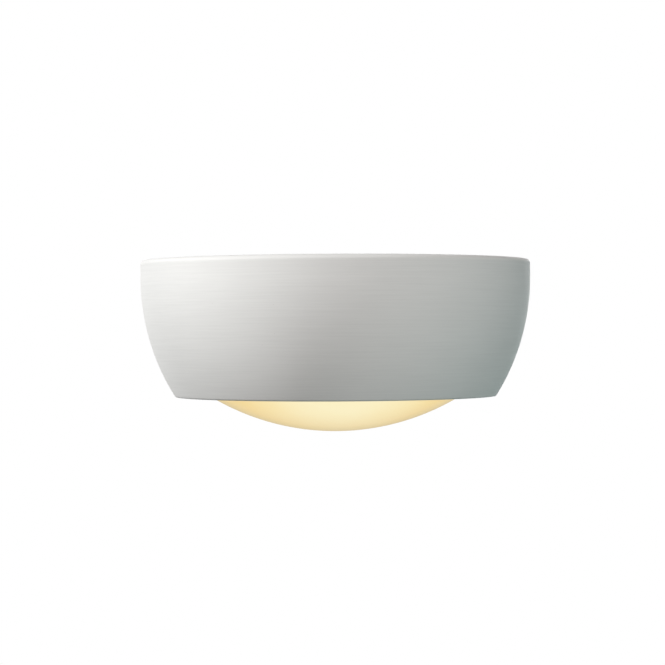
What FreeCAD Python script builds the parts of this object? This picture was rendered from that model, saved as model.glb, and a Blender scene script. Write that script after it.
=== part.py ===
import FreeCAD, Part
import math
import os
from FreeCAD import Vector

# A half-bowl wall uplighter: an open ceramic shade hung on a steel wall bracket, with a glass
# half-dish resting in its floor and one lamp lying across it.
#
# Millimetres. +Z is up, +X is to the right of someone facing the wall, and the wall is the
# plane y = 0 with the whole light on its -Y side. The origin is the middle of the bracket's
# wall face.

# ---- ceramic shade: a bowl turned about an upright axis that stands behind the wall ----
RIM_HALF_WIDTH = 150.0      # half the width of the shade at the wall
AXIS_BEHIND_WALL = 27.0     # the bowl's axis, so the plan is a little less than a half round
TOP_Z = 56.0                # top of the rim
SHADE_HEIGHT = 106.0
UPRIGHT_BAND = 14.0         # the rim runs straight up over this height
SIDE_RADIUS = 174.0         # the side's arc below it
WALL = 7.5                  # thickness of the ceramic
FLOOR = 7.0                 # thickness of the turned-in floor that the glass rests on
FOOT_RADIUS = 2.5           # outer bottom edge
COVE_RADIUS = 4.0           # inner corner between floor and side
ARRIS = 1.2                 # edges of the floor opening
FLOOR_TAPER = 42.0          # degrees from upright of the opening's edge, along the glass
SHADE_OFF_WALL = 0.5        # the ground back edges stop this far from the wall
LUG_THICK = 8.0             # the two cast lugs behind the rim
LUG_HEIGHT = 32.0
LUG_NOSE = 13.0             # from the screw's axis to the lug's inner end
LUG_SLOPE_DROP = 20.0       # the lug's underside falls this far towards the side
LUG_CORNER = 9.0

# ---- glass half-dish ----
GLASS = 4.0
DISH_DROP = 26.1            # depth of its back edge below the shade's underside
RIM_LAND = 7.0              # width of flat rim that rests on the floor
RIM_EDGE_GAP = 0.8          # from the rim to the start of the cove
DISH_CLEAR = 1.6            # from the dish to the floor opening
GLASS_OFF_WALL = 3.0

# ---- wall bracket, pressed from one sheet ----
SHEET = 1.5
PLATE_TOP = 37.0
PLATE_HEIGHT = 63.0
PLATE_CORNER = 6.0
SCREW_INSET = 38.0          # fixing screws of the shade, in from its side at the wall
SCREW_Z = 18.0
EAR_MARGIN = 12.0           # ear around the screw's axis
JOGGLE = 4.0                # the ears stand this far off the wall
BEND_RADIUS = 2.0           # inside of a bend
EAR_ROOT_RADIUS = 1.5       # where the outline steps in from plate to ear
SLOT_INSET = 34.0           # wall slots, in from the fixing screws
SLOT_Z = 28.0
SLOT_WIDTH = 5.2
SLOT_LENGTH = 14.0
BLOCK_TO_CABLE = 31.0       # from the middle of the mains connector to the cable's hole
CABLE_HOLE_Z = -8.0
CABLE_HOLE_R = 9.0
CABLE_BORE_R = 5.0
CABLE_BUSH_LIP = 2.5        # the bush's head past its hole, and in front of the plate
CABLE_BUSH_EDGE = 1.2

# ---- fixing screws (M4, with plain shanks) ----
SCREW_R = 2.0
THREAD_CLEAR = 0.15         # round a shank in its threaded hole
HOLE_CLEAR = 0.5            # round a shank in a plain hole
BUSH_R = 4.0
BUSH_FLANGE = 1.2           # the bush's flange past its barrel
BUSH_REACH = 2.2            # the bush's flange behind the ear
KNOB_R = 7.5
KNOB_LENGTH = 9.0
KNOB_COLLAR = 1.5           # plain neck under the knob, and how far it steps in
KNOB_FLUTES = 20
FLUTE_R = 0.7
FLUTE_DEPTH = 0.45
WASHER_R = 6.5
WASHER = 1.0

# ---- lampholder and its bracket ----
LAMP_OUT = 55.0             # lamp's axis in front of the wall
LAMP_Z = 0.0
HOLDER_CLEAR = 3.8          # from the holder's front edge to the inside of the shade
ARM_HEIGHT = 28.0
FOOT_LENGTH = 25.0
FOOT_SCREW_INSET = 8.0      # from the foot's free end
FOOT_SCREW_SPACING = 14.0
WINDOW_START = 10.0         # a window in the arm, from the wall to the holder
WINDOW_HEIGHT = 14.0
WINDOW_CORNER = 3.0
HOLDER_LENGTH = 35.0
HOLDER_R = 21.0
HOLDER_WAIST = 1.5          # the waist steps in by this
HOLDER_LIP = 5.0            # length of the lip
HOLDER_FOOT = 17.0          # length of the heavier end that is screwed to the arm
CAVITY_R = 14.6
HOLDER_BASE = 8.0           # solid porcelain behind the cavity
SHELL_R = 13.4              # inside of the screw shell
SHELL = 0.6
SHELL_LENGTH = 21.0
SHELL_STAND = 1.2           # the shell stands this far off the cavity's floor
SHELL_FLANGE = 2.5          # its turned-in end
HOLDER_SCREW_SPACING = 16.0
SMALL_SCREW_R = 1.6
NUT = 2.4
TERMINAL_OUT = 11.0         # terminal screws, from the lamp's axis towards the wall
TONGUE = 0.5                # thickness of the centre contact
TONGUE_WIDTH = 5.0
TONGUE_LENGTH = 12.5
CONTACT_STAND = 3.0         # the lamp's contact in front of the cavity's floor

# ---- lamp ----
BULB_R = 30.0
LAMP_LENGTH = 106.0
NECK_R = 12.4
NECK_BLEND = 35.0           # radius of the hollow between bulb and neck
BULB_WALL = 1.0
CAP_R = 13.0
CAP_WALL = 0.4
CAP_LENGTH = 27.0
CAP_TAPER = 3.4             # length of the cap's sloping end
CAP_OVERLAP = 4.0           # the neck stands this far inside the cap
INSULATOR_LENGTH = 1.8
CONTACT_R = 4.7
CONTACT_HEIGHT = 0.7
LEAD_IN_R = 0.5
FILAMENT_R = 0.6
CONTACT_GAP = 0.3           # between the lamp's contact and the holder's tongue

# ---- mains connector, earth point and leads ----
POLES = 3
POLE_PITCH = 12.0
EARTH_TO_BLOCK = 39.0       # from the earth screw to the middle of the mains connector
BLOCK_Z = -14.0
BLOCK_HEIGHT = 20.0
BLOCK_DEPTH = 17.0
INSERT_R = 2.8
INSERT_BORE_R = 1.7
BLOCK_SCREW_R = 1.25
TERMINAL_SCREW_SUNK = 1.0   # below the chimney's mouth
LEAD_R = 1.3
LEAD_GRIP = 6.0             # length of a lead's end inside a terminal
LEAD_Z = 18.5               # height of the lower lead across the bracket
LEAD_SPACING = 4.4
EARTH_INSET = 28.0          # earth screw, in from the left fixing screw
EARTH_Z = 6.0
CLIP_X = 30.0
CLIP_WIDTH = 8.0
CLIP = 1.5                  # thickness of the clip's strap
TAG = 0.8                   # thickness of the earth tag
TAG_RING_R = 4.2
TAG_BARREL_LENGTH = 8.0
TAG_BARREL_WALL = 1.0

EASY = 0.1                  # clearance between two pieces that stay together
SEAT_GAP = 0.3              # between a piece that comes away and what it rests on
LEAD_CLEAR = 0.3            # round a lead in its hole or clip

# ---- heights and radii of the bowl ----
BOTTOM_Z = TOP_Z - SHADE_HEIGHT
FLOOR_Z = BOTTOM_Z + FLOOR
RIM_R = math.hypot(RIM_HALF_WIDTH, AXIS_BEHIND_WALL)
SIDE_CENTRE = (RIM_R - SIDE_RADIUS, TOP_Z - UPRIGHT_BAND)
INNER_RADIUS = SIDE_RADIUS - WALL


def inside_x(out, z):
    """Half the shade's inside width, out in front of the wall and at height z."""
    drop = min(0, z - SIDE_CENTRE[1])
    rho = SIDE_CENTRE[0] + math.sqrt(INNER_RADIUS ** 2 - drop ** 2)
    return math.sqrt(rho ** 2 - (out + AXIS_BEHIND_WALL) ** 2)


# ---- places along the bracket, from the shade's sides inwards ----
SCREW_X = RIM_HALF_WIDTH - SCREW_INSET
SLOT_X = SCREW_X - SLOT_INSET
EARTH_X = EARTH_INSET - SCREW_X
BLOCK_X = EARTH_X + EARTH_TO_BLOCK
CABLE_HOLE_X = BLOCK_X + BLOCK_TO_CABLE
ARM_X = inside_x(LAMP_OUT + HOLDER_R, LAMP_Z) - HOLDER_CLEAR    # the arm, square to the lamp

# ---- places out from the wall and along the lamp ----
EAR_FRONT = JOGGLE + SHEET
LUG_BACK = EAR_FRONT + SEAT_GAP
WASHER_BACK = LUG_BACK + LUG_THICK + SEAT_GAP
HOLDER_MOUTH_X = ARM_X - HOLDER_LENGTH
CAVITY_FLOOR_X = ARM_X - HOLDER_BASE
CONTACT_X = CAVITY_FLOOR_X - CONTACT_STAND
SHELL_START_X = CAVITY_FLOOR_X - SHELL_STAND - SHELL_LENGTH
EPS = 1e-6


# ---------------------------------------------------------------- drawing helpers
def in_turning_plane(rho, z):
    """A point of the bowl's profile: rho from the upright axis, towards the room."""
    return Vector(0, AXIS_BEHIND_WALL - rho, z)


def in_plan(x, y):
    return Vector(x, y, 0)


def in_front(x, z):
    return Vector(x, 0, z)


def along_lamp(x, r):
    """A point of a lamp or holder profile: x along the lamp's axis, r out from it."""
    return Vector(x, -LAMP_OUT, LAMP_Z + r)


class Outline:
    """A closed outline drawn with lines and arcs in one plane."""

    def __init__(self, place, u, v):
        self.place = place
        self.first = (u, v)
        self.at = (u, v)
        self.edges = []

    def line(self, u, v):
        if math.dist(self.at, (u, v)) > EPS:
            self.edges.append(Part.LineSegment(self.place(*self.at), self.place(u, v)).toShape())
        self.at = (u, v)
        return self

    def arc(self, centre, u, v):
        """An arc of less than a half turn about centre."""
        radius = math.dist(self.at, centre)
        du = self.at[0] + u - 2 * centre[0]
        dv = self.at[1] + v - 2 * centre[1]
        half = radius / math.hypot(du, dv)
        middle = (centre[0] + du * half, centre[1] + dv * half)
        curve = Part.Arc(self.place(*self.at), self.place(*middle), self.place(u, v))
        self.edges.append(curve.toShape())
        self.at = (u, v)
        return self

    def face(self):
        self.line(*self.first)
        return Part.Face(Part.Wire(self.edges))


def rounded(place, corners):
    """A closed outline through corners (u, v, radius), each rounded by its own radius."""
    cuts = []
    for i, (u, v, radius) in enumerate(corners):
        before = corners[i - 1]
        after = corners[(i + 1) % len(corners)]
        to_before = unit(before[0] - u, before[1] - v)
        to_after = unit(after[0] - u, after[1] - v)
        turn = math.acos(max(-1, min(1, to_before[0] * to_after[0] + to_before[1] * to_after[1])))
        back = radius / math.tan(turn / 2)
        bisector = unit(to_before[0] + to_after[0], to_before[1] + to_after[1])
        reach = radius / math.sin(turn / 2)
        centre = (u + bisector[0] * reach, v + bisector[1] * reach)
        start = (u + to_before[0] * back, v + to_before[1] * back)
        end = (u + to_after[0] * back, v + to_after[1] * back)
        cuts.append((start, centre, end, radius))
    outline = Outline(place, *cuts[0][2])
    for start, centre, end, radius in cuts[1:] + cuts[:1]:
        outline.line(*start)
        if radius > 0:
            outline.arc(centre, *end)
    return outline.face()


def unit(u, v):
    length = math.hypot(u, v)
    return (u / length, v / length)


def corner_in_arc(centre, radius, level, fillet):
    """A fillet between the level line and an arc, inside the arc: its centre and two ends."""
    z = level + fillet
    u = centre[0] + math.sqrt((radius - fillet) ** 2 - (z - centre[1]) ** 2)
    out = unit(u - centre[0], z - centre[1])
    on_arc = (centre[0] + out[0] * radius, centre[1] + out[1] * radius)
    return (u, z), (u, level), on_arc


def turned(face):
    """A profile turned about the bowl's upright axis."""
    return face.revolve(Vector(0, AXIS_BEHIND_WALL, 0), Vector(0, 0, 1), 360)


def turned_about_lamp(face):
    return face.revolve(Vector(0, -LAMP_OUT, LAMP_Z), Vector(1, 0, 0), 360)


def room_side(gap):
    """All space more than gap in front of the wall, as far as the light reaches."""
    far = 2 * (RIM_HALF_WIDTH + AXIS_BEHIND_WALL + SHADE_HEIGHT + BULB_R)
    return Part.makeBox(2 * far, far, 2 * far, Vector(-far, -far - gap, -far))


def rod(start, end, radius):
    return Part.makeCylinder(radius, (end - start).Length, start, end - start)


def from_wall(x, z, near, far, radius):
    """A cylinder square to the wall, from near to far in front of it."""
    return rod(Vector(x, -near, z), Vector(x, -far, z), radius)


def pan_head_r(shank):
    return 1.85 * shank


def pan_screw(x, z, seat, tip, shank):
    """A screw driven towards the wall: its head sits seat in front of it, with a cross slot."""
    head = pan_head_r(shank)
    head_height = 1.2 * shank
    top = seat + head_height
    body = from_wall(x, z, tip, seat + head_height / 2, shank)
    cap = from_wall(x, z, seat, top, head)
    cap = cap.makeFillet(head_height * 0.45, [e for e in cap.Edges if is_ring_at(e, -top)])
    slot = Part.makeBox(head * 1.3, head_height * 0.5, head * 0.3,
                        Vector(x - head * 0.65, -top, z - head * 0.15))
    cross = slot.copy()
    cross.rotate(Vector(x, 0, z), Vector(0, 1, 0), 90)
    return body.fuse(cap).cut(slot.fuse(cross)).removeSplitter()


def is_ring_at(edge, y):
    box = edge.BoundBox
    return box.YLength < EPS and abs(box.YMin - y) < 1e-4


def lead(name, route):
    """A lead along route: straight runs joined by tangent arcs, as large as the runs allow."""
    edges = []
    at = route[0]
    radii = []
    for i in range(1, len(route) - 1):
        back, ahead = route[i - 1] - route[i], route[i + 1] - route[i]
        turn = math.pi - back.getAngle(ahead)
        radius = 0.45 * min(back.Length, ahead.Length) / math.tan(turn / 2)
        trim = radius * math.tan(turn / 2)
        back.normalize()
        ahead.normalize()
        start, end = route[i] + back * trim, route[i] + ahead * trim
        inwards = back + ahead
        inwards.normalize()
        reach = radius / math.cos(turn / 2) - radius
        edges.append(Part.LineSegment(at, start).toShape())
        edges.append(Part.Arc(start, route[i] + inwards * reach, end).toShape())
        at = end
        radii.append(radius)
    edges.append(Part.LineSegment(at, route[-1]).toShape())
    path = Part.Wire(edges)
    length = path.Length
    first = route[1] - route[0]
    ring = Part.Wire(Part.makeCircle(LEAD_R, route[0], first))
    tube = path.makePipeShell([ring], True, False)
    share = tube.Volume / (math.pi * LEAD_R ** 2 * length)
    print(f"{name}: length {length:.1f} mm, bend radii "
          + ", ".join(f"{r:.1f}" for r in radii) + f" mm, volume {share:.4f} of section x length")
    return tube


# ---------------------------------------------------------------- ceramic shade
COVE_START = corner_in_arc(SIDE_CENTRE, INNER_RADIUS, FLOOR_Z, COVE_RADIUS)[1][0]
GLASS_RIM_R = COVE_START - RIM_EDGE_GAP
OPENING_R = GLASS_RIM_R - RIM_LAND
DISH_MOUTH_R = OPENING_R - DISH_CLEAR


def ceramic_shade():
    """The turned bowl with its floor and tapered opening, cut off at the wall, and two lugs."""
    foot_centre, foot_start, foot_end = corner_in_arc(SIDE_CENTRE, SIDE_RADIUS, BOTTOM_Z, FOOT_RADIUS)
    cove_centre, cove_start, cove_end = corner_in_arc(SIDE_CENTRE, INNER_RADIUS, FLOOR_Z, COVE_RADIUS)
    rim = (RIM_R - WALL / 2, TOP_Z - WALL / 2)
    opening_foot = OPENING_R - FLOOR * math.tan(math.radians(FLOOR_TAPER))
    profile = Outline(in_turning_plane, opening_foot, BOTTOM_Z)
    profile.line(*foot_start).arc(foot_centre, *foot_end)
    profile.arc(SIDE_CENTRE, RIM_R, SIDE_CENTRE[1]).line(RIM_R, rim[1])
    profile.arc(rim, rim[0], TOP_Z).arc(rim, RIM_R - WALL, rim[1])
    profile.line(RIM_R - WALL, SIDE_CENTRE[1]).arc(SIDE_CENTRE, *cove_end)
    profile.arc(cove_centre, *cove_start).line(OPENING_R, FLOOR_Z)
    bowl = turned(profile.face())
    opening_edges = [e for e in bowl.Edges if is_opening_edge(e, opening_foot)]
    bowl = bowl.makeFillet(ARRIS, opening_edges)
    shade = bowl.common(room_side(SHADE_OFF_WALL))
    core = Outline(in_turning_plane, 0, BOTTOM_Z)
    core.line(foot_end[0] - WALL / 2, BOTTOM_Z)
    core.arc(SIDE_CENTRE, RIM_R - WALL / 2, SIDE_CENTRE[1]).line(RIM_R - WALL / 2, TOP_Z).line(0, TOP_Z)
    inside = turned(core.face())
    for side in (-1, 1):
        shade = shade.fuse(lug(side).common(inside))
    for side in (-1, 1):
        shade = shade.cut(from_wall(side * SCREW_X, SCREW_Z, 0, LUG_BACK + 2 * LUG_THICK,
                                    SCREW_R + HOLE_CLEAR))
    return shade.removeSplitter()


def is_opening_edge(edge, opening_foot):
    """Whether an edge is one of the two rings of the floor opening."""
    box = edge.BoundBox
    level = box.ZLength < EPS
    at_top = abs(box.ZMin - FLOOR_Z) < 1e-4 and abs(box.XMax - OPENING_R) < 1e-3
    at_foot = abs(box.ZMin - BOTTOM_Z) < 1e-4 and abs(box.XMax - opening_foot) < 1e-3
    return level and (at_top or at_foot)


def lug(side):
    """A cast lug: a round-nosed plate whose underside falls towards the side of the bowl."""
    nose = SCREW_X - LUG_NOSE
    top, low = SCREW_Z + LUG_HEIGHT / 2, SCREW_Z - LUG_HEIGHT / 2
    outline = rounded(in_front, [
        (side * nose, top, LUG_CORNER),
        (side * RIM_HALF_WIDTH, top, 0),
        (side * RIM_HALF_WIDTH, low - LUG_SLOPE_DROP, 0),
        (side * nose, low, LUG_CORNER)])
    plate = outline.extrude(Vector(0, -LUG_THICK, 0))
    plate.translate(Vector(0, -LUG_BACK, 0))
    return plate


# ---------------------------------------------------------------- glass half-dish
def dish_sphere():
    """The outer sphere of the dish, from its mouth and its depth: its radius and centre height."""
    back = AXIS_BEHIND_WALL + GLASS_OFF_WALL
    low = BOTTOM_Z - DISH_DROP
    rise = FLOOR_Z - low
    # on the sphere: z + sqrt(R^2 - rho^2) is the centre's height at the mouth and at the back edge
    radius = math.sqrt(((DISH_MOUTH_R ** 2 - back ** 2 + rise ** 2) / (2 * rise)) ** 2 + back ** 2)
    return radius, low + math.sqrt(radius ** 2 - back ** 2)


def glass_diffuser():
    """A slumped dish with a flat rim, turned about the shade's axis and ground off at the wall."""
    radius, centre_z = dish_sphere()
    seat = FLOOR_Z + SEAT_GAP
    inner = radius - GLASS
    top = seat + GLASS
    centre = (0, centre_z)
    under_mouth = math.sqrt(radius ** 2 - (centre_z - seat) ** 2)
    over_mouth = math.sqrt(inner ** 2 - (centre_z - top) ** 2)
    rim = (GLASS_RIM_R - GLASS / 2, seat + GLASS / 2)
    profile = Outline(in_turning_plane, 0, centre_z - radius)
    profile.arc(centre, under_mouth, seat).line(rim[0], seat)
    profile.arc(rim, GLASS_RIM_R, rim[1]).arc(rim, rim[0], top)
    profile.line(over_mouth, top).arc(centre, 0, centre_z - inner)
    return turned(profile.face()).common(room_side(GLASS_OFF_WALL))


# ---------------------------------------------------------------- wall bracket
def joggled_section():
    """The sheet's section in plan: flat on the wall, then joggled out at both ends."""
    ramp = JOGGLE
    inner = SCREW_X - EAR_MARGIN
    outer = SCREW_X + EAR_MARGIN
    shift = SHEET * math.tan(math.radians(22.5))
    fold = BEND_RADIUS
    front = [(inner - shift, -SHEET, fold), (inner + ramp - shift, -EAR_FRONT, fold + SHEET),
             (outer, -EAR_FRONT, 0)]
    back = [(outer, -JOGGLE, 0), (inner + ramp, -JOGGLE, fold), (inner, 0, fold + SHEET)]
    right = front + back
    left = [(-x, y, r) for x, y, r in reversed(right)]
    return rounded(in_plan, right + left)


def wall_bracket():
    """The joggled sheet cut to its outline, with its slots and holes."""
    inner = SCREW_X - EAR_MARGIN
    outer = SCREW_X + EAR_MARGIN
    low = PLATE_TOP - PLATE_HEIGHT
    ear_top, ear_low = SCREW_Z + EAR_MARGIN, SCREW_Z - EAR_MARGIN
    soft = PLATE_CORNER
    side = inner - SHEET
    half = [(side, PLATE_TOP, soft), (side, ear_top, EAR_ROOT_RADIUS), (outer, ear_top, soft),
            (outer, ear_low, soft), (side, ear_low, EAR_ROOT_RADIUS), (side, low, soft)]
    mirror = [(-x, z, r) for x, z, r in reversed(half)]
    blank = rounded(in_front, half + mirror).extrude(Vector(0, -2 * EAR_FRONT, 0))
    sheet = joggled_section().extrude(Vector(0, 0, PLATE_HEIGHT))
    sheet.translate(Vector(0, 0, low))
    plate = sheet.common(blank)
    holes = [slot(side * SLOT_X, SLOT_Z) for side in (-1, 1)]
    holes += [from_wall(side * SCREW_X, SCREW_Z, 0, 2 * EAR_FRONT, BUSH_R) for side in (-1, 1)]
    holes.append(from_wall(CABLE_HOLE_X, CABLE_HOLE_Z, -1, 2 * SHEET, CABLE_HOLE_R))
    holes += [from_wall(x, z, -1, 2 * SHEET, radius) for x, z, radius in small_holes()]
    for hole in holes:
        plate = plate.cut(hole)
    return plate.removeSplitter()


def small_holes():
    """Holes of the plate: two for the lampholder bracket, one each for block, earth and clip."""
    places = bracket_screw_places() + [(EARTH_X, EARTH_Z), clip_hole_place()]
    holes = [(x, z, SCREW_R + THREAD_CLEAR) for x, z in places]
    return holes + [(*block_screw_place(), BLOCK_SCREW_R + THREAD_CLEAR)]


def slot(x, z):
    """A slot along X for a wall screw."""
    half = (SLOT_LENGTH - SLOT_WIDTH) / 2
    radius = SLOT_WIDTH / 2
    bar = Part.makeBox(2 * half, 3 * SHEET, SLOT_WIDTH, Vector(x - half, -2 * SHEET, z - radius))
    for end in (-half, half):
        bar = bar.fuse(from_wall(x + end, z, -SHEET, 2 * SHEET, radius))
    return bar


def threaded_bush(side):
    """A clinch bush: its barrel stands behind the ear, its flange is flush in the ear."""
    x = side * SCREW_X
    tip = JOGGLE - BUSH_REACH
    body = from_wall(x, SCREW_Z, tip, EAR_FRONT, BUSH_R - EASY / 2)
    flange = from_wall(x, SCREW_Z, tip, JOGGLE - EASY, BUSH_R + BUSH_FLANGE)
    bore = from_wall(x, SCREW_Z, 0, 2 * EAR_FRONT, SCREW_R + THREAD_CLEAR)
    return body.fuse(flange).cut(bore).removeSplitter()


def cable_bush():
    """A snap bush with a rounded mouth, seated in the cable hole."""
    head_r = CABLE_HOLE_R + CABLE_BUSH_LIP
    front = SHEET + CABLE_BUSH_LIP
    edge = CABLE_BUSH_EDGE
    corner = front - edge
    profile = Outline(lambda y, r: Vector(CABLE_HOLE_X + r, -y, CABLE_HOLE_Z), 0, CABLE_BORE_R)
    profile.line(0, CABLE_HOLE_R - EASY).line(SHEET, CABLE_HOLE_R - EASY).line(SHEET, head_r)
    profile.line(corner, head_r).arc((corner, head_r - edge), front, head_r - edge)
    profile.line(front, CABLE_BORE_R + edge).arc((corner, CABLE_BORE_R + edge), corner, CABLE_BORE_R)
    return profile.face().revolve(Vector(CABLE_HOLE_X, 0, CABLE_HOLE_Z), Vector(0, 1, 0), 360)


# ---------------------------------------------------------------- fixing screws of the shade
def fixing_screw(side):
    """A knurled thumbscrew: a fluted knob with a domed end, and a plain shank."""
    x = side * SCREW_X
    seat = WASHER_BACK + WASHER
    tip = JOGGLE - BUSH_REACH + EASY
    grip = seat + KNOB_COLLAR
    end = seat + KNOB_LENGTH
    knob = from_wall(x, SCREW_Z, grip, end, KNOB_R)
    knob = knob.makeFillet(KNOB_COLLAR, [e for e in knob.Edges if is_ring_at(e, -end)])
    reach = KNOB_R + FLUTE_R - FLUTE_DEPTH
    flutes = []
    for i in range(KNOB_FLUTES):
        angle = 2 * math.pi * i / KNOB_FLUTES
        flutes.append(from_wall(x + reach * math.cos(angle), SCREW_Z + reach * math.sin(angle),
                                seat, end + 1, FLUTE_R))
    knob = knob.cut(Part.makeCompound(flutes))
    collar = from_wall(x, SCREW_Z, seat, grip, KNOB_R - KNOB_COLLAR)
    shank = from_wall(x, SCREW_Z, tip, grip, SCREW_R)
    return knob.fuse([collar, shank]).removeSplitter()


def screw_washer(side):
    """A flat ring under the knob."""
    x = side * SCREW_X
    disc = from_wall(x, SCREW_Z, WASHER_BACK, WASHER_BACK + WASHER, WASHER_R)
    return disc.cut(from_wall(x, SCREW_Z, 0, 2 * WASHER_BACK, SCREW_R + THREAD_CLEAR))


# ---------------------------------------------------------------- lampholder bracket
def lampholder_bracket():
    """A cranked strip: a foot on the wall bracket, a bend, and an arm with a round end."""
    back = SHEET
    foot_x = ARM_X - FOOT_LENGTH
    half = ARM_HEIGHT / 2
    section = rounded(in_plan, [
        (foot_x, -back, 0), (ARM_X + SHEET, -back, BEND_RADIUS + SHEET),
        (ARM_X + SHEET, -LAMP_OUT - half, 0), (ARM_X, -LAMP_OUT - half, 0),
        (ARM_X, -back - SHEET, BEND_RADIUS), (foot_x, -back - SHEET, 0)])
    strip = section.extrude(Vector(0, 0, ARM_HEIGHT))
    strip.translate(Vector(0, 0, LAMP_Z - half))
    far = LAMP_OUT + half
    side_view = rounded(lambda y, z: Vector(foot_x - 1, -y, z), [
        (0, LAMP_Z - half, 0), (far, LAMP_Z - half, half * 0.99),
        (far, LAMP_Z + half, half * 0.99), (0, LAMP_Z + half, 0)])
    strip = strip.common(side_view.extrude(Vector(2 * FOOT_LENGTH, 0, 0)))
    holes = [along_x(dy, 0, ARM_X - 1, ARM_X + 2 * SHEET, SMALL_SCREW_R + EASY)
             for dy in holder_screw_offsets()]
    holes.append(along_x(0, 0, ARM_X - 1, ARM_X + 2 * SHEET, SMALL_SCREW_R * 2))
    holes += [from_wall(x, z, 0, 3 * SHEET, SCREW_R + EASY) for x, z in bracket_screw_places()]
    # a window in the arm lightens it and lets the holder's heat out
    start, end = WINDOW_START, LAMP_OUT - HOLDER_R - WINDOW_CORNER
    low, top = LAMP_Z - WINDOW_HEIGHT / 2, LAMP_Z + WINDOW_HEIGHT / 2
    corners = [(start, low), (end, low), (end, top), (start, top)]
    window = rounded(lambda y, z: Vector(ARM_X - SHEET, -y, z), [(y, z, WINDOW_CORNER) for y, z in corners])
    holes.append(window.extrude(Vector(3 * SHEET, 0, 0)))
    for hole in holes:
        strip = strip.cut(hole)
    return strip.removeSplitter()


def along_x(dy, dz, start, end, radius):
    """A cylinder along the lamp, dy towards the wall and dz above its axis."""
    y, z = dy - LAMP_OUT, LAMP_Z + dz
    return rod(Vector(start, y, z), Vector(end, y, z), radius)


def bracket_screw_places():
    x = ARM_X - FOOT_LENGTH + FOOT_SCREW_INSET
    return [(x, LAMP_Z + side * FOOT_SCREW_SPACING / 2) for side in (-1, 1)]


def bracket_screws():
    return Part.makeCompound([pan_screw(x, z, 2 * SHEET, EASY, SCREW_R) for x, z in bracket_screw_places()])


# ---------------------------------------------------------------- lampholder
def holder_screw_offsets():
    return (-HOLDER_SCREW_SPACING / 2, HOLDER_SCREW_SPACING / 2)


def lampholder_body():
    """Turned porcelain: a lipped mouth, a waist, a heavier base, and the cavity for the shell."""
    mouth, back = HOLDER_MOUTH_X, ARM_X
    lip, base = mouth + HOLDER_LIP, back - HOLDER_FOOT
    step = HOLDER_WAIST
    waist = HOLDER_R - step
    profile = rounded(along_lamp, [
        (mouth, CAVITY_R, 0.8), (mouth, HOLDER_R, 1.5), (lip, HOLDER_R, 1.0),
        (lip + step, waist, 1.0), (base, waist, 1.0), (base + step, HOLDER_R, 1.0),
        (back, HOLDER_R, 1.5), (back, 0, 0), (CAVITY_FLOOR_X, 0, 0), (CAVITY_FLOOR_X, CAVITY_R, 1.0)])
    body = turned_about_lamp(profile)
    for dy in holder_screw_offsets():
        body = body.cut(along_x(dy, 0, CAVITY_FLOOR_X - 1, back + 1, SMALL_SCREW_R + EASY))
    for side in (-1, 1):
        z = LAMP_Z + side * HOLDER_SCREW_SPACING / 2
        entry = rod(Vector(lead_x(), 0, z), Vector(lead_x(), lead_end_y() - SEAT_GAP, z), LEAD_R + LEAD_CLEAR)
        well = rod(Vector(lead_x(), TERMINAL_OUT - LAMP_OUT, z),
                   Vector(lead_x(), TERMINAL_OUT - LAMP_OUT, LAMP_Z + side * 2 * HOLDER_R),
                   SMALL_SCREW_R + EASY)
        body = body.cut(entry).cut(well)
    return body.removeSplitter()


def lead_x():
    """The leads enter the middle of the porcelain base."""
    return ARM_X - HOLDER_BASE / 2


def lead_end_y():
    """The leads end just past the holder's terminal screws."""
    return TERMINAL_OUT - LAMP_OUT - 2 * SMALL_SCREW_R


def screw_shell():
    """A plain tube with a turned-in end, standing just inside the porcelain."""
    start = SHELL_START_X
    end = start + SHELL_LENGTH
    outer = SHELL_R + SHELL
    inner = SHELL_R - SHELL_FLANGE
    profile = rounded(along_lamp, [
        (start, SHELL_R, 0), (start, outer, SHELL * 0.4), (end, outer, SHELL * 0.8), (end, inner, 0),
        (end - SHELL, inner, 0), (end - SHELL, SHELL_R, 0)])
    shell = turned_about_lamp(profile)
    for dy in holder_screw_offsets():
        shell = shell.cut(along_x(dy, 0, end - SHELL_FLANGE, end + 1, pan_head_r(SMALL_SCREW_R) + 2 * EASY))
    return shell


def centre_contact():
    """A sprung tongue: a foot on the cavity's floor, a rise, and a cupped end at the lamp."""
    floor = CAVITY_FLOOR_X
    tip = CONTACT_X + CONTACT_GAP
    end = TONGUE_LENGTH * 0.2
    start = end - TONGUE_LENGTH
    rise_low, rise_top = start + TONGUE_LENGTH * 0.4, -end * 0.8
    shift = TONGUE * 0.6
    section = rounded(lambda x, z: Vector(x, -LAMP_OUT - TONGUE_WIDTH / 2, LAMP_Z + z), [
        (floor, start, 0), (floor, rise_low, TONGUE), (tip + TONGUE, rise_top, TONGUE),
        (tip + TONGUE, end, 0), (tip, end, 0), (tip, rise_top - shift, TONGUE),
        (floor - TONGUE, rise_low - shift, TONGUE), (floor - TONGUE, start, 0)])
    return section.extrude(Vector(0, TONGUE_WIDTH, 0))


def holder_screws():
    """Two slotted screws through the cavity's floor and the arm, to just past their nuts."""
    head_r = pan_head_r(SMALL_SCREW_R)
    top = CAVITY_FLOOR_X - SMALL_SCREW_R
    end = ARM_X + SHEET + NUT + SMALL_SCREW_R
    shapes = []
    for dy in holder_screw_offsets():
        head = along_x(dy, 0, top, CAVITY_FLOOR_X, head_r)
        shank = along_x(dy, 0, top + TONGUE, end, SMALL_SCREW_R)
        slot = Part.makeBox(TONGUE, 3 * head_r, TONGUE,
                            Vector(top, dy - LAMP_OUT - 1.5 * head_r, LAMP_Z - TONGUE / 2))
        shapes.append(head.fuse(shank).cut(slot).removeSplitter())
    return Part.makeCompound(shapes)


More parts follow.
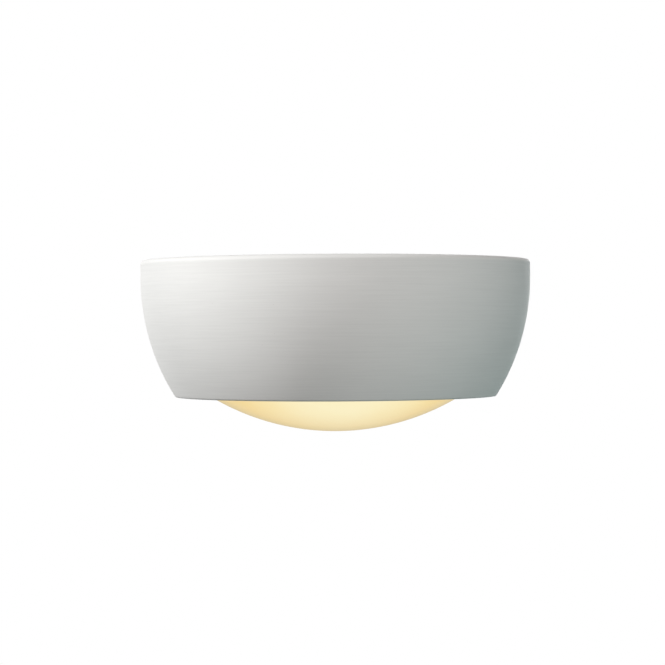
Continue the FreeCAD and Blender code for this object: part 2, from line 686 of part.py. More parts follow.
def holder_nuts():
    """Hexagon nuts outside the arm."""
    shapes = []
    corner_r = 2 * SMALL_SCREW_R
    for dy in holder_screw_offsets():
        corners = []
        for i in range(7):
            angle = math.radians(60 * i)
            corners.append(Vector(ARM_X + SHEET, dy - LAMP_OUT + corner_r * math.cos(angle),
                                  LAMP_Z + corner_r * math.sin(angle)))
        nut = Part.Face(Part.makePolygon(corners)).extrude(Vector(NUT, 0, 0))
        shapes.append(nut.cut(along_x(dy, 0, ARM_X, ARM_X + SHEET + 2 * NUT, SMALL_SCREW_R + EASY / 2)))
    return Part.makeCompound(shapes)


def holder_terminal_screws():
    """Slotted grub screws above and below the lamp's axis, each on the end of its lead."""
    shapes = []
    width, deep = SMALL_SCREW_R * 0.4, SMALL_SCREW_R * 0.5
    y = TERMINAL_OUT - LAMP_OUT
    for side in (-1, 1):
        near = LAMP_Z + side * (HOLDER_SCREW_SPACING / 2 + LEAD_R + EASY)
        far = LAMP_Z + side * (math.sqrt(HOLDER_R ** 2 - TERMINAL_OUT ** 2) - SEAT_GAP)
        grub = rod(Vector(lead_x(), y, near), Vector(lead_x(), y, far), SMALL_SCREW_R)
        slot = Part.makeBox(width, 4 * SMALL_SCREW_R, deep,
                            Vector(lead_x() - width / 2, y - 2 * SMALL_SCREW_R, min(far, far - side * deep)))
        shapes.append(grub.cut(slot))
    return Part.makeCompound(shapes)


# ---------------------------------------------------------------- lamp
LAMP_TIP_X = CONTACT_X - LAMP_LENGTH
CAP_RIM_X = CONTACT_X - CAP_LENGTH
CAP_END_X = CONTACT_X - CONTACT_HEIGHT - INSULATOR_LENGTH


def bulb_curve(wall):
    """The envelope at wall inside its outer face: bulb centre and radius, blend centre, neck."""
    radius = BULB_R - wall
    neck = NECK_R - wall
    blend = NECK_BLEND + wall
    centre = LAMP_TIP_X + BULB_R
    run = math.sqrt((radius + blend) ** 2 - (neck + blend) ** 2)
    share = radius / (radius + blend)
    meet = (centre + run * share, (neck + blend) * share)
    return centre, radius, (centre + run, neck + blend), meet, neck


def lamp_glass():
    """A blown envelope: a ball that sweeps through a hollow curve into its neck."""
    centre, radius, blend, meet, neck = bulb_curve(0)
    _, inner, _, inner_meet, inner_neck = bulb_curve(BULB_WALL)
    end = CAP_RIM_X + CAP_OVERLAP
    profile = Outline(along_lamp, centre - radius, 0)
    profile.arc((centre, 0), centre, radius).arc((centre, 0), *meet).arc(blend, blend[0], neck)
    profile.line(end, neck).line(end, inner_neck).line(blend[0], inner_neck)
    profile.arc(blend, *inner_meet).arc((centre, 0), centre, inner).arc((centre, 0), centre - inner, 0)
    return turned_about_lamp(profile.face())


def lamp_cap():
    """A thin screw cap: a tube that closes towards the contact."""
    wall = CAP_WALL
    shoulder = CAP_END_X - CAP_TAPER
    small = CAP_R - CAP_TAPER * 1.2
    profile = Outline(along_lamp, CAP_RIM_X, CAP_R - wall)
    profile.line(CAP_RIM_X, CAP_R).line(shoulder, CAP_R).line(CAP_END_X, small)
    profile.line(CAP_END_X, small - 2 * wall).line(CAP_END_X - wall, small - 2 * wall)
    profile.line(shoulder - wall, CAP_R - wall)
    return turned_about_lamp(profile.face())


def lamp_insulator():
    """The dark glass plug between cap and contact."""
    start, end = CAP_END_X, CAP_END_X + INSULATOR_LENGTH - EASY
    profile = Outline(along_lamp, start, 0)
    profile.line(start, CAP_R - CAP_TAPER * 1.2).line(end, CONTACT_R + CAP_WALL).line(end, 0)
    return turned_about_lamp(profile.face())


def lamp_contact():
    """The solder contact: a low dome."""
    base = CONTACT_X - CONTACT_HEIGHT
    bulge = (CONTACT_R ** 2 + CONTACT_HEIGHT ** 2) / (2 * CONTACT_HEIGHT)
    profile = Outline(along_lamp, base, 0)
    profile.line(base, CONTACT_R).arc((CONTACT_X - bulge, 0), CONTACT_X, 0)
    return turned_about_lamp(profile.face())


def lamp_mount():
    """The stem with its flare, two lead-in wires and the filament's arc between them."""
    centre = LAMP_TIP_X + BULB_R
    foot = CAP_RIM_X + CAP_OVERLAP
    pinch = centre + BULB_R * 0.8
    tip = centre + BULB_R * 0.13
    flare_r = NECK_R - BULB_WALL - EASY
    stem_r = flare_r * 0.35
    profile = rounded(along_lamp, [
        (foot, 0, 0), (foot, flare_r, 0), (foot - stem_r, flare_r, stem_r * 0.4),
        (foot - 2 * stem_r, stem_r, stem_r * 0.7), (pinch, stem_r * 0.9, stem_r * 0.4), (pinch, 0, 0)])
    stem = turned_about_lamp(profile)
    spread = BULB_R * 0.4
    for side in (-1, 1):
        start = Vector(pinch + stem_r, -LAMP_OUT, LAMP_Z + side * stem_r / 2)
        end = Vector(tip, -LAMP_OUT, LAMP_Z + side * spread)
        stem = stem.fuse(rod(start, end, LEAD_IN_R))
    coil = Part.Arc(Vector(tip, -LAMP_OUT, LAMP_Z - spread), Vector(tip - spread * 0.6, -LAMP_OUT, LAMP_Z),
                    Vector(tip, -LAMP_OUT, LAMP_Z + spread))
    path = Part.Wire(coil.toShape())
    ring = Part.Wire(Part.makeCircle(FILAMENT_R, path.Vertexes[0].Point, coil.tangent(coil.FirstParameter)[0]))
    return stem.fuse(path.makePipeShell([ring], True, False)).removeSplitter()


# ---------------------------------------------------------------- mains connector and earth
def pole_x(i):
    return BLOCK_X + (i - (POLES - 1) / 2) * POLE_PITCH


def insert_out():
    """The inserts' distance from the wall."""
    return SHEET + BLOCK_DEPTH * 0.45


def terminal_z(end):
    return BLOCK_Z + end * BLOCK_HEIGHT * 0.25


def block_screw_place():
    """Between the first two poles."""
    return ((pole_x(0) + pole_x(1)) / 2, BLOCK_Z)


def block_screw_seat():
    return SHEET + BLOCK_DEPTH * 0.3


def terminal_block():
    """A moulded row of barrels, each with a lead bore and two screw chimneys."""
    low = BLOCK_Z - BLOCK_HEIGHT / 2
    barrel = POLE_PITCH * 0.46
    shoulder = SHEET + BLOCK_DEPTH * 0.72
    base = Part.makeBox((POLES - 1) * POLE_PITCH + 2 * barrel, BLOCK_DEPTH * 0.4, BLOCK_HEIGHT * 0.7,
                        Vector(pole_x(0) - barrel, -SHEET - BLOCK_DEPTH * 0.4, BLOCK_Z - BLOCK_HEIGHT * 0.35))
    block = base
    for i in range(POLES):
        x = pole_x(i)
        body = rounded(in_plan, [
            (x - barrel, -SHEET, 0.6), (x + barrel, -SHEET, 0.6),
            (x + barrel, -shoulder, barrel * 0.6), (x - barrel, -shoulder, barrel * 0.6)])
        body = body.extrude(Vector(0, 0, BLOCK_HEIGHT))
        body.translate(Vector(0, 0, low))
        block = block.fuse(body)
        for end in (-1, 1):
            block = block.fuse(from_wall(x, terminal_z(end), SHEET + 1, SHEET + BLOCK_DEPTH, barrel * 0.75))
    for i in range(POLES):
        x = pole_x(i)
        bore = rod(Vector(x, -insert_out(), low - 1), Vector(x, -insert_out(), low + BLOCK_HEIGHT + 1),
                   INSERT_R + EASY / 2)
        block = block.cut(bore)
        for end in (-1, 1):
            block = block.cut(from_wall(x, terminal_z(end), insert_out(), 2 * BLOCK_DEPTH,
                                        SMALL_SCREW_R + THREAD_CLEAR))
    x, z = block_screw_place()
    block = block.cut(from_wall(x, z, 0, 3 * BLOCK_DEPTH, BLOCK_SCREW_R + EASY))
    block = block.cut(from_wall(x, z, block_screw_seat(), 3 * BLOCK_DEPTH, pan_head_r(BLOCK_SCREW_R) + EASY))
    return block.removeSplitter()


def terminal_inserts():
    """Brass tubes, each with a lead bore and two tapped screw holes."""
    shapes = []
    length = BLOCK_HEIGHT - 2
    for i in range(POLES):
        low = Vector(pole_x(i), -insert_out(), BLOCK_Z - length / 2)
        high = low + Vector(0, 0, length)
        tube = rod(low, high, INSERT_R).cut(rod(low, high, INSERT_BORE_R))
        for end in (-1, 1):
            tube = tube.cut(from_wall(pole_x(i), terminal_z(end), insert_out(), 2 * BLOCK_DEPTH,
                                      SMALL_SCREW_R + EASY / 2))
        shapes.append(tube)
    return Part.makeCompound(shapes)


def terminal_screws():
    """Slotted grub screws, down on the leads above and open below for the supply."""
    shapes = []
    width, deep = SMALL_SCREW_R * 0.4, SMALL_SCREW_R * 0.5
    for i in range(POLES):
        for end in (-1, 1):
            near = insert_out() + (LEAD_R + EASY if end > 0 else INSERT_BORE_R)
            far = SHEET + BLOCK_DEPTH - TERMINAL_SCREW_SUNK
            x, z = pole_x(i), terminal_z(end)
            screw = from_wall(x, z, near, far, SMALL_SCREW_R)
            slot = Part.makeBox(3 * SMALL_SCREW_R, deep, width,
                                Vector(x - 1.5 * SMALL_SCREW_R, -far, z - width / 2))
            shapes.append(screw.cut(slot))
    return Part.makeCompound(shapes)


def block_screw():
    x, z = block_screw_place()
    return pan_screw(x, z, block_screw_seat(), EASY, BLOCK_SCREW_R)


def tag_out():
    """The earth tag's barrel axis, lying on the plate."""
    return SHEET + LEAD_R + TAG_BARREL_WALL


def earth_tag():
    """A ring tag with a crimped barrel along X."""
    barrel_r = LEAD_R + TAG_BARREL_WALL
    start = Vector(barrel_start_x(), -tag_out(), EARTH_Z)
    end = start + Vector(TAG_BARREL_LENGTH, 0, 0)
    ring = from_wall(EARTH_X, EARTH_Z, SHEET, SHEET + TAG, TAG_RING_R)
    neck = Part.makeBox(start.x + barrel_r - EARTH_X, TAG, 2 * barrel_r,
                        Vector(EARTH_X, -SHEET - TAG, EARTH_Z - barrel_r))
    tag = ring.fuse([neck, rod(start, end, barrel_r)])
    tag = tag.cut(from_wall(EARTH_X, EARTH_Z, 0, 4 * SHEET, SCREW_R + EASY))
    return tag.cut(rod(start + Vector(TAG_BARREL_WALL, 0, 0), end, LEAD_R + EASY)).removeSplitter()


def barrel_start_x():
    """The barrel stands clear of the screw's head."""
    return EARTH_X + max(TAG_RING_R, pan_head_r(SCREW_R)) + TAG_BARREL_WALL


def earth_screw():
    return pan_screw(EARTH_X, EARTH_Z, SHEET + TAG, EASY, SCREW_R)


# ---------------------------------------------------------------- leads
def lead_to_holder(name, pole, level, side, turn_out):
    """From a terminal up, across the bracket, then out beside the arm into the holder."""
    out = insert_out()
    x = pole_x(pole)
    z = LAMP_Z + side * HOLDER_SCREW_SPACING / 2
    top = BLOCK_Z + BLOCK_HEIGHT / 2
    return lead(name, [
        Vector(x, -out, top - LEAD_GRIP), Vector(x, -out, level), Vector(lead_x(), -out, level),
        Vector(lead_x(), -turn_out, z), Vector(lead_x(), lead_end_y(), z)])


def wire_neutral():
    """The lower lead, straight down past the lamp's axis and out to the lower terminal."""
    return lead_to_holder("wire_neutral", 2, LEAD_Z, -1, insert_out() + 2)


def wire_live():
    """The upper lead, slanting out and down to the upper terminal."""
    upper = LEAD_Z + LEAD_SPACING
    return lead_to_holder("wire_live", 1, upper, 1, LAMP_OUT - HOLDER_R - 2 * LEAD_R)


def wire_earth():
    """From the first terminal up, over towards the plate, and into the tag's barrel."""
    out = insert_out()
    x = pole_x(0)
    top = BLOCK_Z + BLOCK_HEIGHT / 2
    barrel_end = barrel_start_x() + TAG_BARREL_LENGTH
    turn_x = (x + barrel_end) / 2
    return lead("wire_earth", [
        Vector(x, -out, top - LEAD_GRIP), Vector(x, -out, EARTH_Z), Vector(turn_x, -tag_out(), EARTH_Z),
        Vector(barrel_end - LEAD_GRIP, -tag_out(), EARTH_Z)])


def clip_hole_place():
    return (CLIP_X, LEAD_Z - LEAD_R - 2.5 * SCREW_R)


def wire_clip():
    """A nylon saddle: a foot held by its peg, and a bridge over the two leads."""
    x, z = clip_hole_place()
    low = LEAD_Z - LEAD_R - LEAD_CLEAR
    high = LEAD_Z + LEAD_SPACING + LEAD_R + LEAD_CLEAR
    out = insert_out() + LEAD_R + LEAD_CLEAR
    foot = z - 2 * SCREW_R
    soft, inside = CLIP * 1.3, CLIP * 0.6
    section = rounded(lambda y, z: Vector(x - CLIP_WIDTH / 2, -y, z), [
        (SHEET, foot, 0), (SHEET + CLIP, foot, 0.5), (SHEET + CLIP, low - CLIP, 0.5),
        (out + CLIP, low - CLIP, soft), (out + CLIP, high + CLIP, soft),
        (SHEET, high + CLIP, 0), (SHEET, high, 0), (out, high, inside), (out, low, inside), (SHEET, low, 0)])
    clip = section.extrude(Vector(CLIP_WIDTH, 0, 0))
    return clip.fuse(from_wall(x, z, EASY, SHEET + CLIP / 2, SCREW_R)).removeSplitter()


# ---------------------------------------------------------------- the whole light
PIECES = {
    "ceramic_shade": ceramic_shade,
    "glass_diffuser": glass_diffuser,
    "wall_bracket": wall_bracket,
    "threaded_bush_left": lambda: threaded_bush(-1),
    "threaded_bush_right": lambda: threaded_bush(1),
    "cable_bush": cable_bush,
    "fixing_screw_left": lambda: fixing_screw(-1),
    "fixing_screw_right": lambda: fixing_screw(1),
    "screw_washer_left": lambda: screw_washer(-1),
    "screw_washer_right": lambda: screw_washer(1),
    "lampholder_bracket": lampholder_bracket,
    "bracket_screws": bracket_screws,
    "lampholder_body": lampholder_body,
    "screw_shell": screw_shell,
    "centre_contact": centre_contact,
    "holder_screws": holder_screws,
    "holder_nuts": holder_nuts,
    "holder_terminal_screws": holder_terminal_screws,
    "lamp_glass": lamp_glass,
    "lamp_cap": lamp_cap,
    "lamp_insulator": lamp_insulator,
    "lamp_contact": lamp_contact,
    "lamp_mount": lamp_mount,
    "terminal_block": terminal_block,
    "terminal_inserts": terminal_inserts,
    "terminal_screws": terminal_screws,
    "block_screw": block_screw,
    "earth_tag": earth_tag,
    "earth_screw": earth_screw,
    "wire_live": wire_live,
    "wire_neutral": wire_neutral,
    "wire_earth": wire_earth,
    "wire_clip": wire_clip,
}

os.makedirs("parts", exist_ok=True)
for name, make in PIECES.items():
    shape = make()
    shape.exportStep(f"parts/{name}.step")
    print(f"{name}: {len(shape.Solids)} solid(s), valid {shape.isValid()}, {shape.Volume / 1000:.2f} cm3")
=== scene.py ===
# %% [markdown]
# # A half-bowl wall light in bisque ceramic
#
# The light is a thick ceramic bowl, turned, cut off flat behind and hung on a steel bracket. It is
# open at the top, and a shallow opal glass dish sits in its floor, lit by one lamp that lies
# across it. The CAD model gives every piece its place and size. This file loads that model, keeps
# the pieces whose shape is already right, and makes finer ones where the eye lingers: the bowl,
# the dish, and the screw thread of the lamp's cap and of its holder.
#
# Blender works in metres. The drawings below are in millimetres, as on a maker's bench, and one
# function turns them into metres when a mesh is made.

# %% Load the CAD model
import math

import bmesh
import bpy
import numpy as np
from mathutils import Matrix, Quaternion, Vector


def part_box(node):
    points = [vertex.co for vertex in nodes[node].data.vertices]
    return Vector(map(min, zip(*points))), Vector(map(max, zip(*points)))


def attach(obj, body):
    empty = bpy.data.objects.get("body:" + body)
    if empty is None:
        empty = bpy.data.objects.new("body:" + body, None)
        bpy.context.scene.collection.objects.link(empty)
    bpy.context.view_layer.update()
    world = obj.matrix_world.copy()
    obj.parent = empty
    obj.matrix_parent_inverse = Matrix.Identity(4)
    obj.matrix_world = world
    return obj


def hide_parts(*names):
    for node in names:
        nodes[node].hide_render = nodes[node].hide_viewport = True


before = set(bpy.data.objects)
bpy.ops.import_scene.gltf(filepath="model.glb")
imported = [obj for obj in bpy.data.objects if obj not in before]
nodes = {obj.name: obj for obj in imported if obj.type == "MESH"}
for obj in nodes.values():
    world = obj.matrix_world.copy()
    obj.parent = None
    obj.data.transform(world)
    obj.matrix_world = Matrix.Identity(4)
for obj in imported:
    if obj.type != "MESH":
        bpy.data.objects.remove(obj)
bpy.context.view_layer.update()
MM = 0.001


def box_mm(name):
    """The lowest and highest corners of a CAD node, in millimetres."""
    low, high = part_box(name)
    return np.array(low) / MM, np.array(high) / MM


# %% [markdown]
# ## The camera
#
# The picture was taken square to the wall, from far enough away that the rim bows by only a few
# pixels. One pixel covers the same size everywhere in the wall's plane, so that scale and the
# distance give the lens. The shade's middle and the eye's own height are not quite in the middle
# of the picture, so the camera aims a hair to the left of the one and below the other. It also
# leans a quarter of a degree.

# %% Camera
PICTURE = 665               # pixels across
SHADE_MIDDLE_X = 335.5      # pixel column of the shade's centre line
EYE_ROW = 327.5             # pixel row of the camera's own height
EYE_Z = 3.5                 # that height on the object, mm
PIXELS_PER_MM = 1.2995      # in the wall's plane
DISTANCE = 1600.0           # from the wall, mm
LEAN = -0.25                # degrees
SENSOR = 36.0

camera_data = bpy.data.cameras.new("camera")
camera_data.sensor_width = SENSOR
camera_data.lens = SENSOR * PIXELS_PER_MM * DISTANCE / PICTURE
camera_data.clip_start, camera_data.clip_end = 0.05, 50.0
camera = bpy.data.objects.new("camera", camera_data)
bpy.context.scene.collection.objects.link(camera)
bpy.context.scene.camera = camera

eye = Vector((0, -DISTANCE, EYE_Z)) * MM
aim_x = (PICTURE / 2 - SHADE_MIDDLE_X) / PIXELS_PER_MM
aim_z = EYE_Z - (PICTURE / 2 - EYE_ROW) / PIXELS_PER_MM
aim = Vector((aim_x, 0, aim_z)) * MM
camera.location = eye
camera.rotation_mode = "QUATERNION"
level_view = (aim - eye).to_track_quat("-Z", "Y")
camera.rotation_quaternion = level_view @ Quaternion((0, 0, 1), math.radians(LEAN))
print(f"lens {camera_data.lens:.1f} mm, aimed at x {aim_x:.1f}, z {aim_z:.1f} mm")

# %% [markdown]
# ## Meshes from formulas
#
# Nearly every piece here was turned: on a wheel, a lathe or a glass machine. A turned surface is
# a profile carried round an axis, so a point on it needs two numbers, how far along the profile
# and how far round. With numpy the whole grid of points is worked out at once. The helpers below
# draw a profile from lines and arcs, and turn a grid of points into a piece.

# %% Profiles
def arc(centre, radius, start, end, count):
    """Points on a circle: centre plus radius times (cos, sin) of angles from start to end, degrees."""
    angle = np.radians(np.linspace(start, end, count))
    return np.stack([centre[0] + radius * np.cos(angle), centre[1] + radius * np.sin(angle)], -1)


def straight(start, end, count):
    """Evenly spaced points between two points, both ends left out."""
    share = np.linspace(0, 1, count + 2)[1:-1, None]
    return np.array(start) * (1 - share) + np.array(end) * share


def corner_round(before, corner, after, radius, count):
    """A fillet at a corner: its centre lies on the corner's bisector, radius / sin(half angle) in."""
    before, corner, after = (np.array(p, float) for p in (before, corner, after))
    to_before = (before - corner) / np.linalg.norm(before - corner)
    to_after = (after - corner) / np.linalg.norm(after - corner)
    half = math.acos(np.clip(to_before @ to_after, -1, 1)) / 2
    middle = (to_before + to_after) / np.linalg.norm(to_before + to_after)
    centre = corner + middle * radius / math.sin(half)
    start = corner + to_before * radius / math.tan(half) - centre
    end = corner + to_after * radius / math.tan(half) - centre
    first = math.degrees(math.atan2(start[1], start[0]))
    turn = math.degrees(math.atan2(start[0] * end[1] - start[1] * end[0], start @ end))
    return arc(centre, radius, first, first + turn, count)


def level_to_arc(centre, radius, level, fillet, count):
    """The fillet between a level line and a large arc, touching both from inside the arc."""
    z = level + fillet
    u = centre[0] + math.sqrt((radius - fillet) ** 2 - (z - centre[1]) ** 2)
    outwards = math.degrees(math.atan2(z - centre[1], u - centre[0]))
    return arc((u, z), fillet, -90, outwards, count), outwards


# %% Grids into pieces
def squares(rows, columns, close_rows=False, close_columns=False):
    """The four corner numbers of every square of a grid of points, stored row after row."""
    i = np.arange(rows if close_rows else rows - 1)[:, None]
    j = np.arange(columns if close_columns else columns - 1)[None, :]
    below, right = (i + 1) % rows, (j + 1) % columns
    corners = (i * columns + j, below * columns + j, below * columns + right, i * columns + right)
    return [tuple(face) for face in np.stack(corners, -1).reshape(-1, 4).tolist()]


def piece(name, shells, material, body, replaces=(), sharp=35):
    """One object out of closed shells, each a grid of points in mm and its faces.

    Doubled points at poles and seams are merged, faces are turned outwards, and edges that turn by
    more than `sharp` degrees stay crisp."""
    points, faces, start = [], [], 0
    for shell_points, shell_faces in shells:
        flat = np.asarray(shell_points, float).reshape(-1, 3)
        points.append(flat)
        faces += [tuple(start + k for k in face) for face in shell_faces]
        start += len(flat)
    mesh = bpy.data.meshes.new(name)
    mesh.from_pydata((np.vstack(points) * MM).tolist(), [], faces)
    work = bmesh.new()
    work.from_mesh(mesh)
    bmesh.ops.remove_doubles(work, verts=work.verts, dist=1e-6)
    bmesh.ops.dissolve_degenerate(work, edges=work.edges, dist=1e-7)
    bmesh.ops.recalc_face_normals(work, faces=work.faces)
    work.to_mesh(mesh)
    work.free()
    return finish_piece(name, mesh, material, body, replaces, sharp)


def finish_piece(name, mesh, material, body, replaces, sharp):
    mesh.shade_smooth()
    mesh.set_sharp_from_angle(angle=math.radians(sharp))
    obj = bpy.data.objects.new(name, mesh)
    bpy.context.scene.collection.objects.link(obj)
    mesh.materials.append(material)
    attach(obj, body)
    if replaces:
        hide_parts(*replaces)
    print(f"{name}: {len(mesh.vertices)} points, {len(mesh.polygons)} faces")
    return obj

# %% [markdown]
# ## Materials: effects that several finishes share
#
# A finish is more than one colour. Four effects come back on many of these pieces, so each is a
# shader node group, built once and placed with its own numbers: slow clouds of tone, fine parallel
# lines from turning or rolling, small specks, and a film of dust on what faces up. A group gives
# out only colours, masks and heights. The shader itself stays in each material.

# %% Node helpers
def add(tree, kind, inputs=None, **settings):
    """A node with its settings. An input is a number, a colour, or the output that feeds it."""
    new = tree.nodes.new(kind)
    for key, value in settings.items():
        setattr(new, key, value)
    for key, value in (inputs or {}).items():
        if isinstance(value, bpy.types.NodeSocket):
            tree.links.new(value, new.inputs[key])
        else:
            new.inputs[key].default_value = value
    return new


def maths(tree, operation, first, second=0.0, third=0.0):
    """The result of a Math node."""
    return add(tree, "ShaderNodeMath", {0: first, 1: second, 2: third}, operation=operation).outputs[0]


def vector_maths(tree, operation, first, second=(0, 0, 0)):
    """The result of a Vector Math node: a number for a length or a product, otherwise a vector."""
    made = add(tree, "ShaderNodeVectorMath", {0: first, 1: second}, operation=operation)
    return made.outputs["Value" if operation in ("DOT_PRODUCT", "DISTANCE", "LENGTH") else "Vector"]


def scaled(tree, vector, factor):
    """A vector or a colour times a number."""
    return add(tree, "ShaderNodeVectorMath", {0: vector, "Scale": factor}, operation="SCALE").outputs[0]


def blend(tree, share, first, second):
    """Two colours mixed by a share."""
    inputs = {"Factor": share, "A": first, "B": second}
    mix = tree.nodes.new("ShaderNodeMix")
    mix.data_type = "RGBA"
    for socket in mix.inputs:
        if socket.enabled and socket.name in inputs:
            value = inputs[socket.name]
            if isinstance(value, bpy.types.NodeSocket):
                tree.links.new(value, socket)
            else:
                socket.default_value = value
    return next(s for s in mix.outputs if s.enabled)


def spread(tree, value, low, high, new_low=0.0, new_high=1.0):
    """A value carried from one range to another, and held at its ends."""
    inputs = {"Value": value, "From Min": low, "From Max": high, "To Min": new_low, "To Max": new_high}
    return add(tree, "ShaderNodeMapRange", inputs).outputs["Result"]


def noise(tree, vector, scale, detail=2.0, roughness=0.5):
    """Smooth noise, with `scale` patches to a metre."""
    inputs = {"Vector": vector, "Scale": scale, "Detail": detail, "Roughness": roughness}
    return add(tree, "ShaderNodeTexNoise", inputs).outputs["Fac"]


NOISE_LOW, NOISE_HIGH = 0.3, 0.7        # noise seldom leaves this range


def between(tree, noisy, low, high):
    """Noise carried to a range of its own."""
    return spread(tree, noisy, NOISE_LOW, NOISE_HIGH, low, high)


KINDS = {"vector": "NodeSocketVector", "colour": "NodeSocketColor", "number": "NodeSocketFloat"}


def effect_group(name, inputs, outputs):
    """An empty node group with named sockets: the group, its input node and its output node."""
    tree = bpy.data.node_groups.new(name, "ShaderNodeTree")
    for label, kind in inputs.items():
        tree.interface.new_socket(name=label, in_out="INPUT", socket_type=KINDS[kind])
    for label, kind in outputs.items():
        tree.interface.new_socket(name=label, in_out="OUTPUT", socket_type=KINDS[kind])
    return tree, tree.nodes.new("NodeGroupInput").outputs, tree.nodes.new("NodeGroupOutput").inputs


# %% The four effects
DUST_COLOUR = (0.42, 0.40, 0.37, 1)
DUST_PATCHES = 140.0        # to a metre


def make_clouds():
    """Slow patches: the colour is multiplied by 1 plus or minus Tone, following smooth noise."""
    tree, given, out = effect_group(
        "clouds", {"Vector": "vector", "Colour": "colour", "Size": "number", "Tone": "number"},
        {"Colour": "colour", "Cloud": "number"})
    scale = maths(tree, "DIVIDE", 1.0, given["Size"])
    cloud = between(tree, noise(tree, given["Vector"], scale, 4.0, 0.55), -1.0, 1.0)
    factor = maths(tree, "MULTIPLY_ADD", cloud, given["Tone"], 1.0)
    tree.links.new(scaled(tree, given["Colour"], factor), out["Colour"])
    tree.links.new(cloud, out["Cloud"])
    return tree


def make_lines():
    """Fine parallel lines: noise stretched along two axes and drawn tight along the third.

    Pitch is the distance between lines and Length how far one runs, in metres. Across is a vector
    with 1 on the axis that the lines are stacked along and 0 on the others."""
    tree, given, out = effect_group(
        "lines", {"Vector": "vector", "Across": "vector", "Pitch": "number", "Length": "number"},
        {"Height": "number"})
    tight = maths(tree, "DIVIDE", 1.0, given["Pitch"])
    slack = maths(tree, "DIVIDE", 1.0, given["Length"])
    along = vector_maths(tree, "SUBTRACT", (1, 1, 1), given["Across"])
    tight_part, slack_part = scaled(tree, given["Across"], tight), scaled(tree, along, slack)
    stretch = vector_maths(tree, "ADD", tight_part, slack_part)
    place = vector_maths(tree, "MULTIPLY", given["Vector"], stretch)
    tree.links.new(noise(tree, place, 1.0, 2.0, 0.6), out["Height"])
    return tree


def make_specks():
    """Small dots: cells of a Voronoi pattern whose own random value is under Share, as round spots."""
    tree, given, out = effect_group(
        "specks", {"Vector": "vector", "Spacing": "number", "Share": "number", "Spot": "number"},
        {"Mask": "number"})
    scale = maths(tree, "DIVIDE", 1.0, given["Spacing"])
    cells = add(tree, "ShaderNodeTexVoronoi", {"Vector": given["Vector"], "Scale": scale})
    cell = add(tree, "ShaderNodeSeparateColor", {"Color": cells.outputs["Color"]}).outputs["Red"]
    chosen = maths(tree, "LESS_THAN", cell, given["Share"])
    edge = maths(tree, "MULTIPLY", given["Spot"], 0.5)
    spot = spread(tree, cells.outputs["Distance"], edge, given["Spot"], 1.0, 0.0)
    tree.links.new(maths(tree, "MULTIPLY", chosen, spot), out["Mask"])
    return tree


def make_dust():
    """A film that settles where the surface faces up, broken up by noise."""
    tree, given, out = effect_group(
        "dust", {"Vector": "vector", "Colour": "colour", "Amount": "number"},
        {"Colour": "colour", "Mask": "number"})
    normal = add(tree, "ShaderNodeNewGeometry").outputs["Normal"]
    upwards = add(tree, "ShaderNodeSeparateXYZ", {"Vector": normal}).outputs["Z"]
    facing = spread(tree, upwards, 0.55, 1.0)
    broken = spread(tree, noise(tree, given["Vector"], DUST_PATCHES, 5.0), 0.35, 0.7, 0.35, 1.0)
    mask = maths(tree, "MULTIPLY", maths(tree, "MULTIPLY", facing, broken), given["Amount"])
    tree.links.new(blend(tree, mask, given["Colour"], DUST_COLOUR), out["Colour"])
    tree.links.new(mask, out["Mask"])
    return tree


CLOUDS, LINES, SPECKS, DUST = make_clouds(), make_lines(), make_specks(), make_dust()
ACROSS_X, ACROSS_Y, ACROSS_Z = (1, 0, 0), (0, 1, 0), (0, 0, 1)
print("effects:", [g.name for g in bpy.data.node_groups])


# %% A material and the pieces it is made of
def new_material(name, **sockets):
    """A Principled material: its tree, its shader and object coordinates."""
    material = bpy.data.materials.new(name)
    material.use_nodes = True
    tree = material.node_tree
    shader = tree.nodes["Principled BSDF"]
    for key, value in sockets.items():
        shader.inputs[key.replace("_", " ")].default_value = value
    return material, tree, shader, add(tree, "ShaderNodeTexCoord").outputs["Object"]


def effect(tree, group, inputs):
    """The outputs of one of the effect groups, placed in a material."""
    return add(tree, "ShaderNodeGroup", inputs, node_tree=group).outputs


def feed(tree, shader, **outputs):
    """Links outputs to the shader's sockets, named with _ for a space."""
    for key, value in outputs.items():
        tree.links.new(value, shader.inputs[key.replace("_", " ")])


def bumped(tree, shader, height, depth, normal=None):
    """A Bump node, depth in metres for a height that runs from 0 to 1, after another bump if given."""
    inputs = {"Height": height, "Distance": depth, "Strength": 1.0}
    if normal is not None:
        inputs["Normal"] = normal
    bump = add(tree, "ShaderNodeBump", inputs)
    tree.links.new(bump.outputs["Normal"], shader.inputs["Normal"])
    return bump.outputs["Normal"]

# %% [markdown]
# ## Bisque
#
# The shade is fired but not glazed. From a step away it is plain white, yet it is never quite flat:
# the wheel leaves lines a couple of millimetres apart, the kiln leaves slow clouds, and here and
# there a pore stays open. All three are very faint, and the wheel's lines are what the picture
# shows best. Bisque has no gloss, only a dull sheen at a low angle.

# %% Bisque
BISQUE_WHITE = (0.80, 0.80, 0.79, 1)
BISQUE_GRAINS = 2600.0      # to a metre


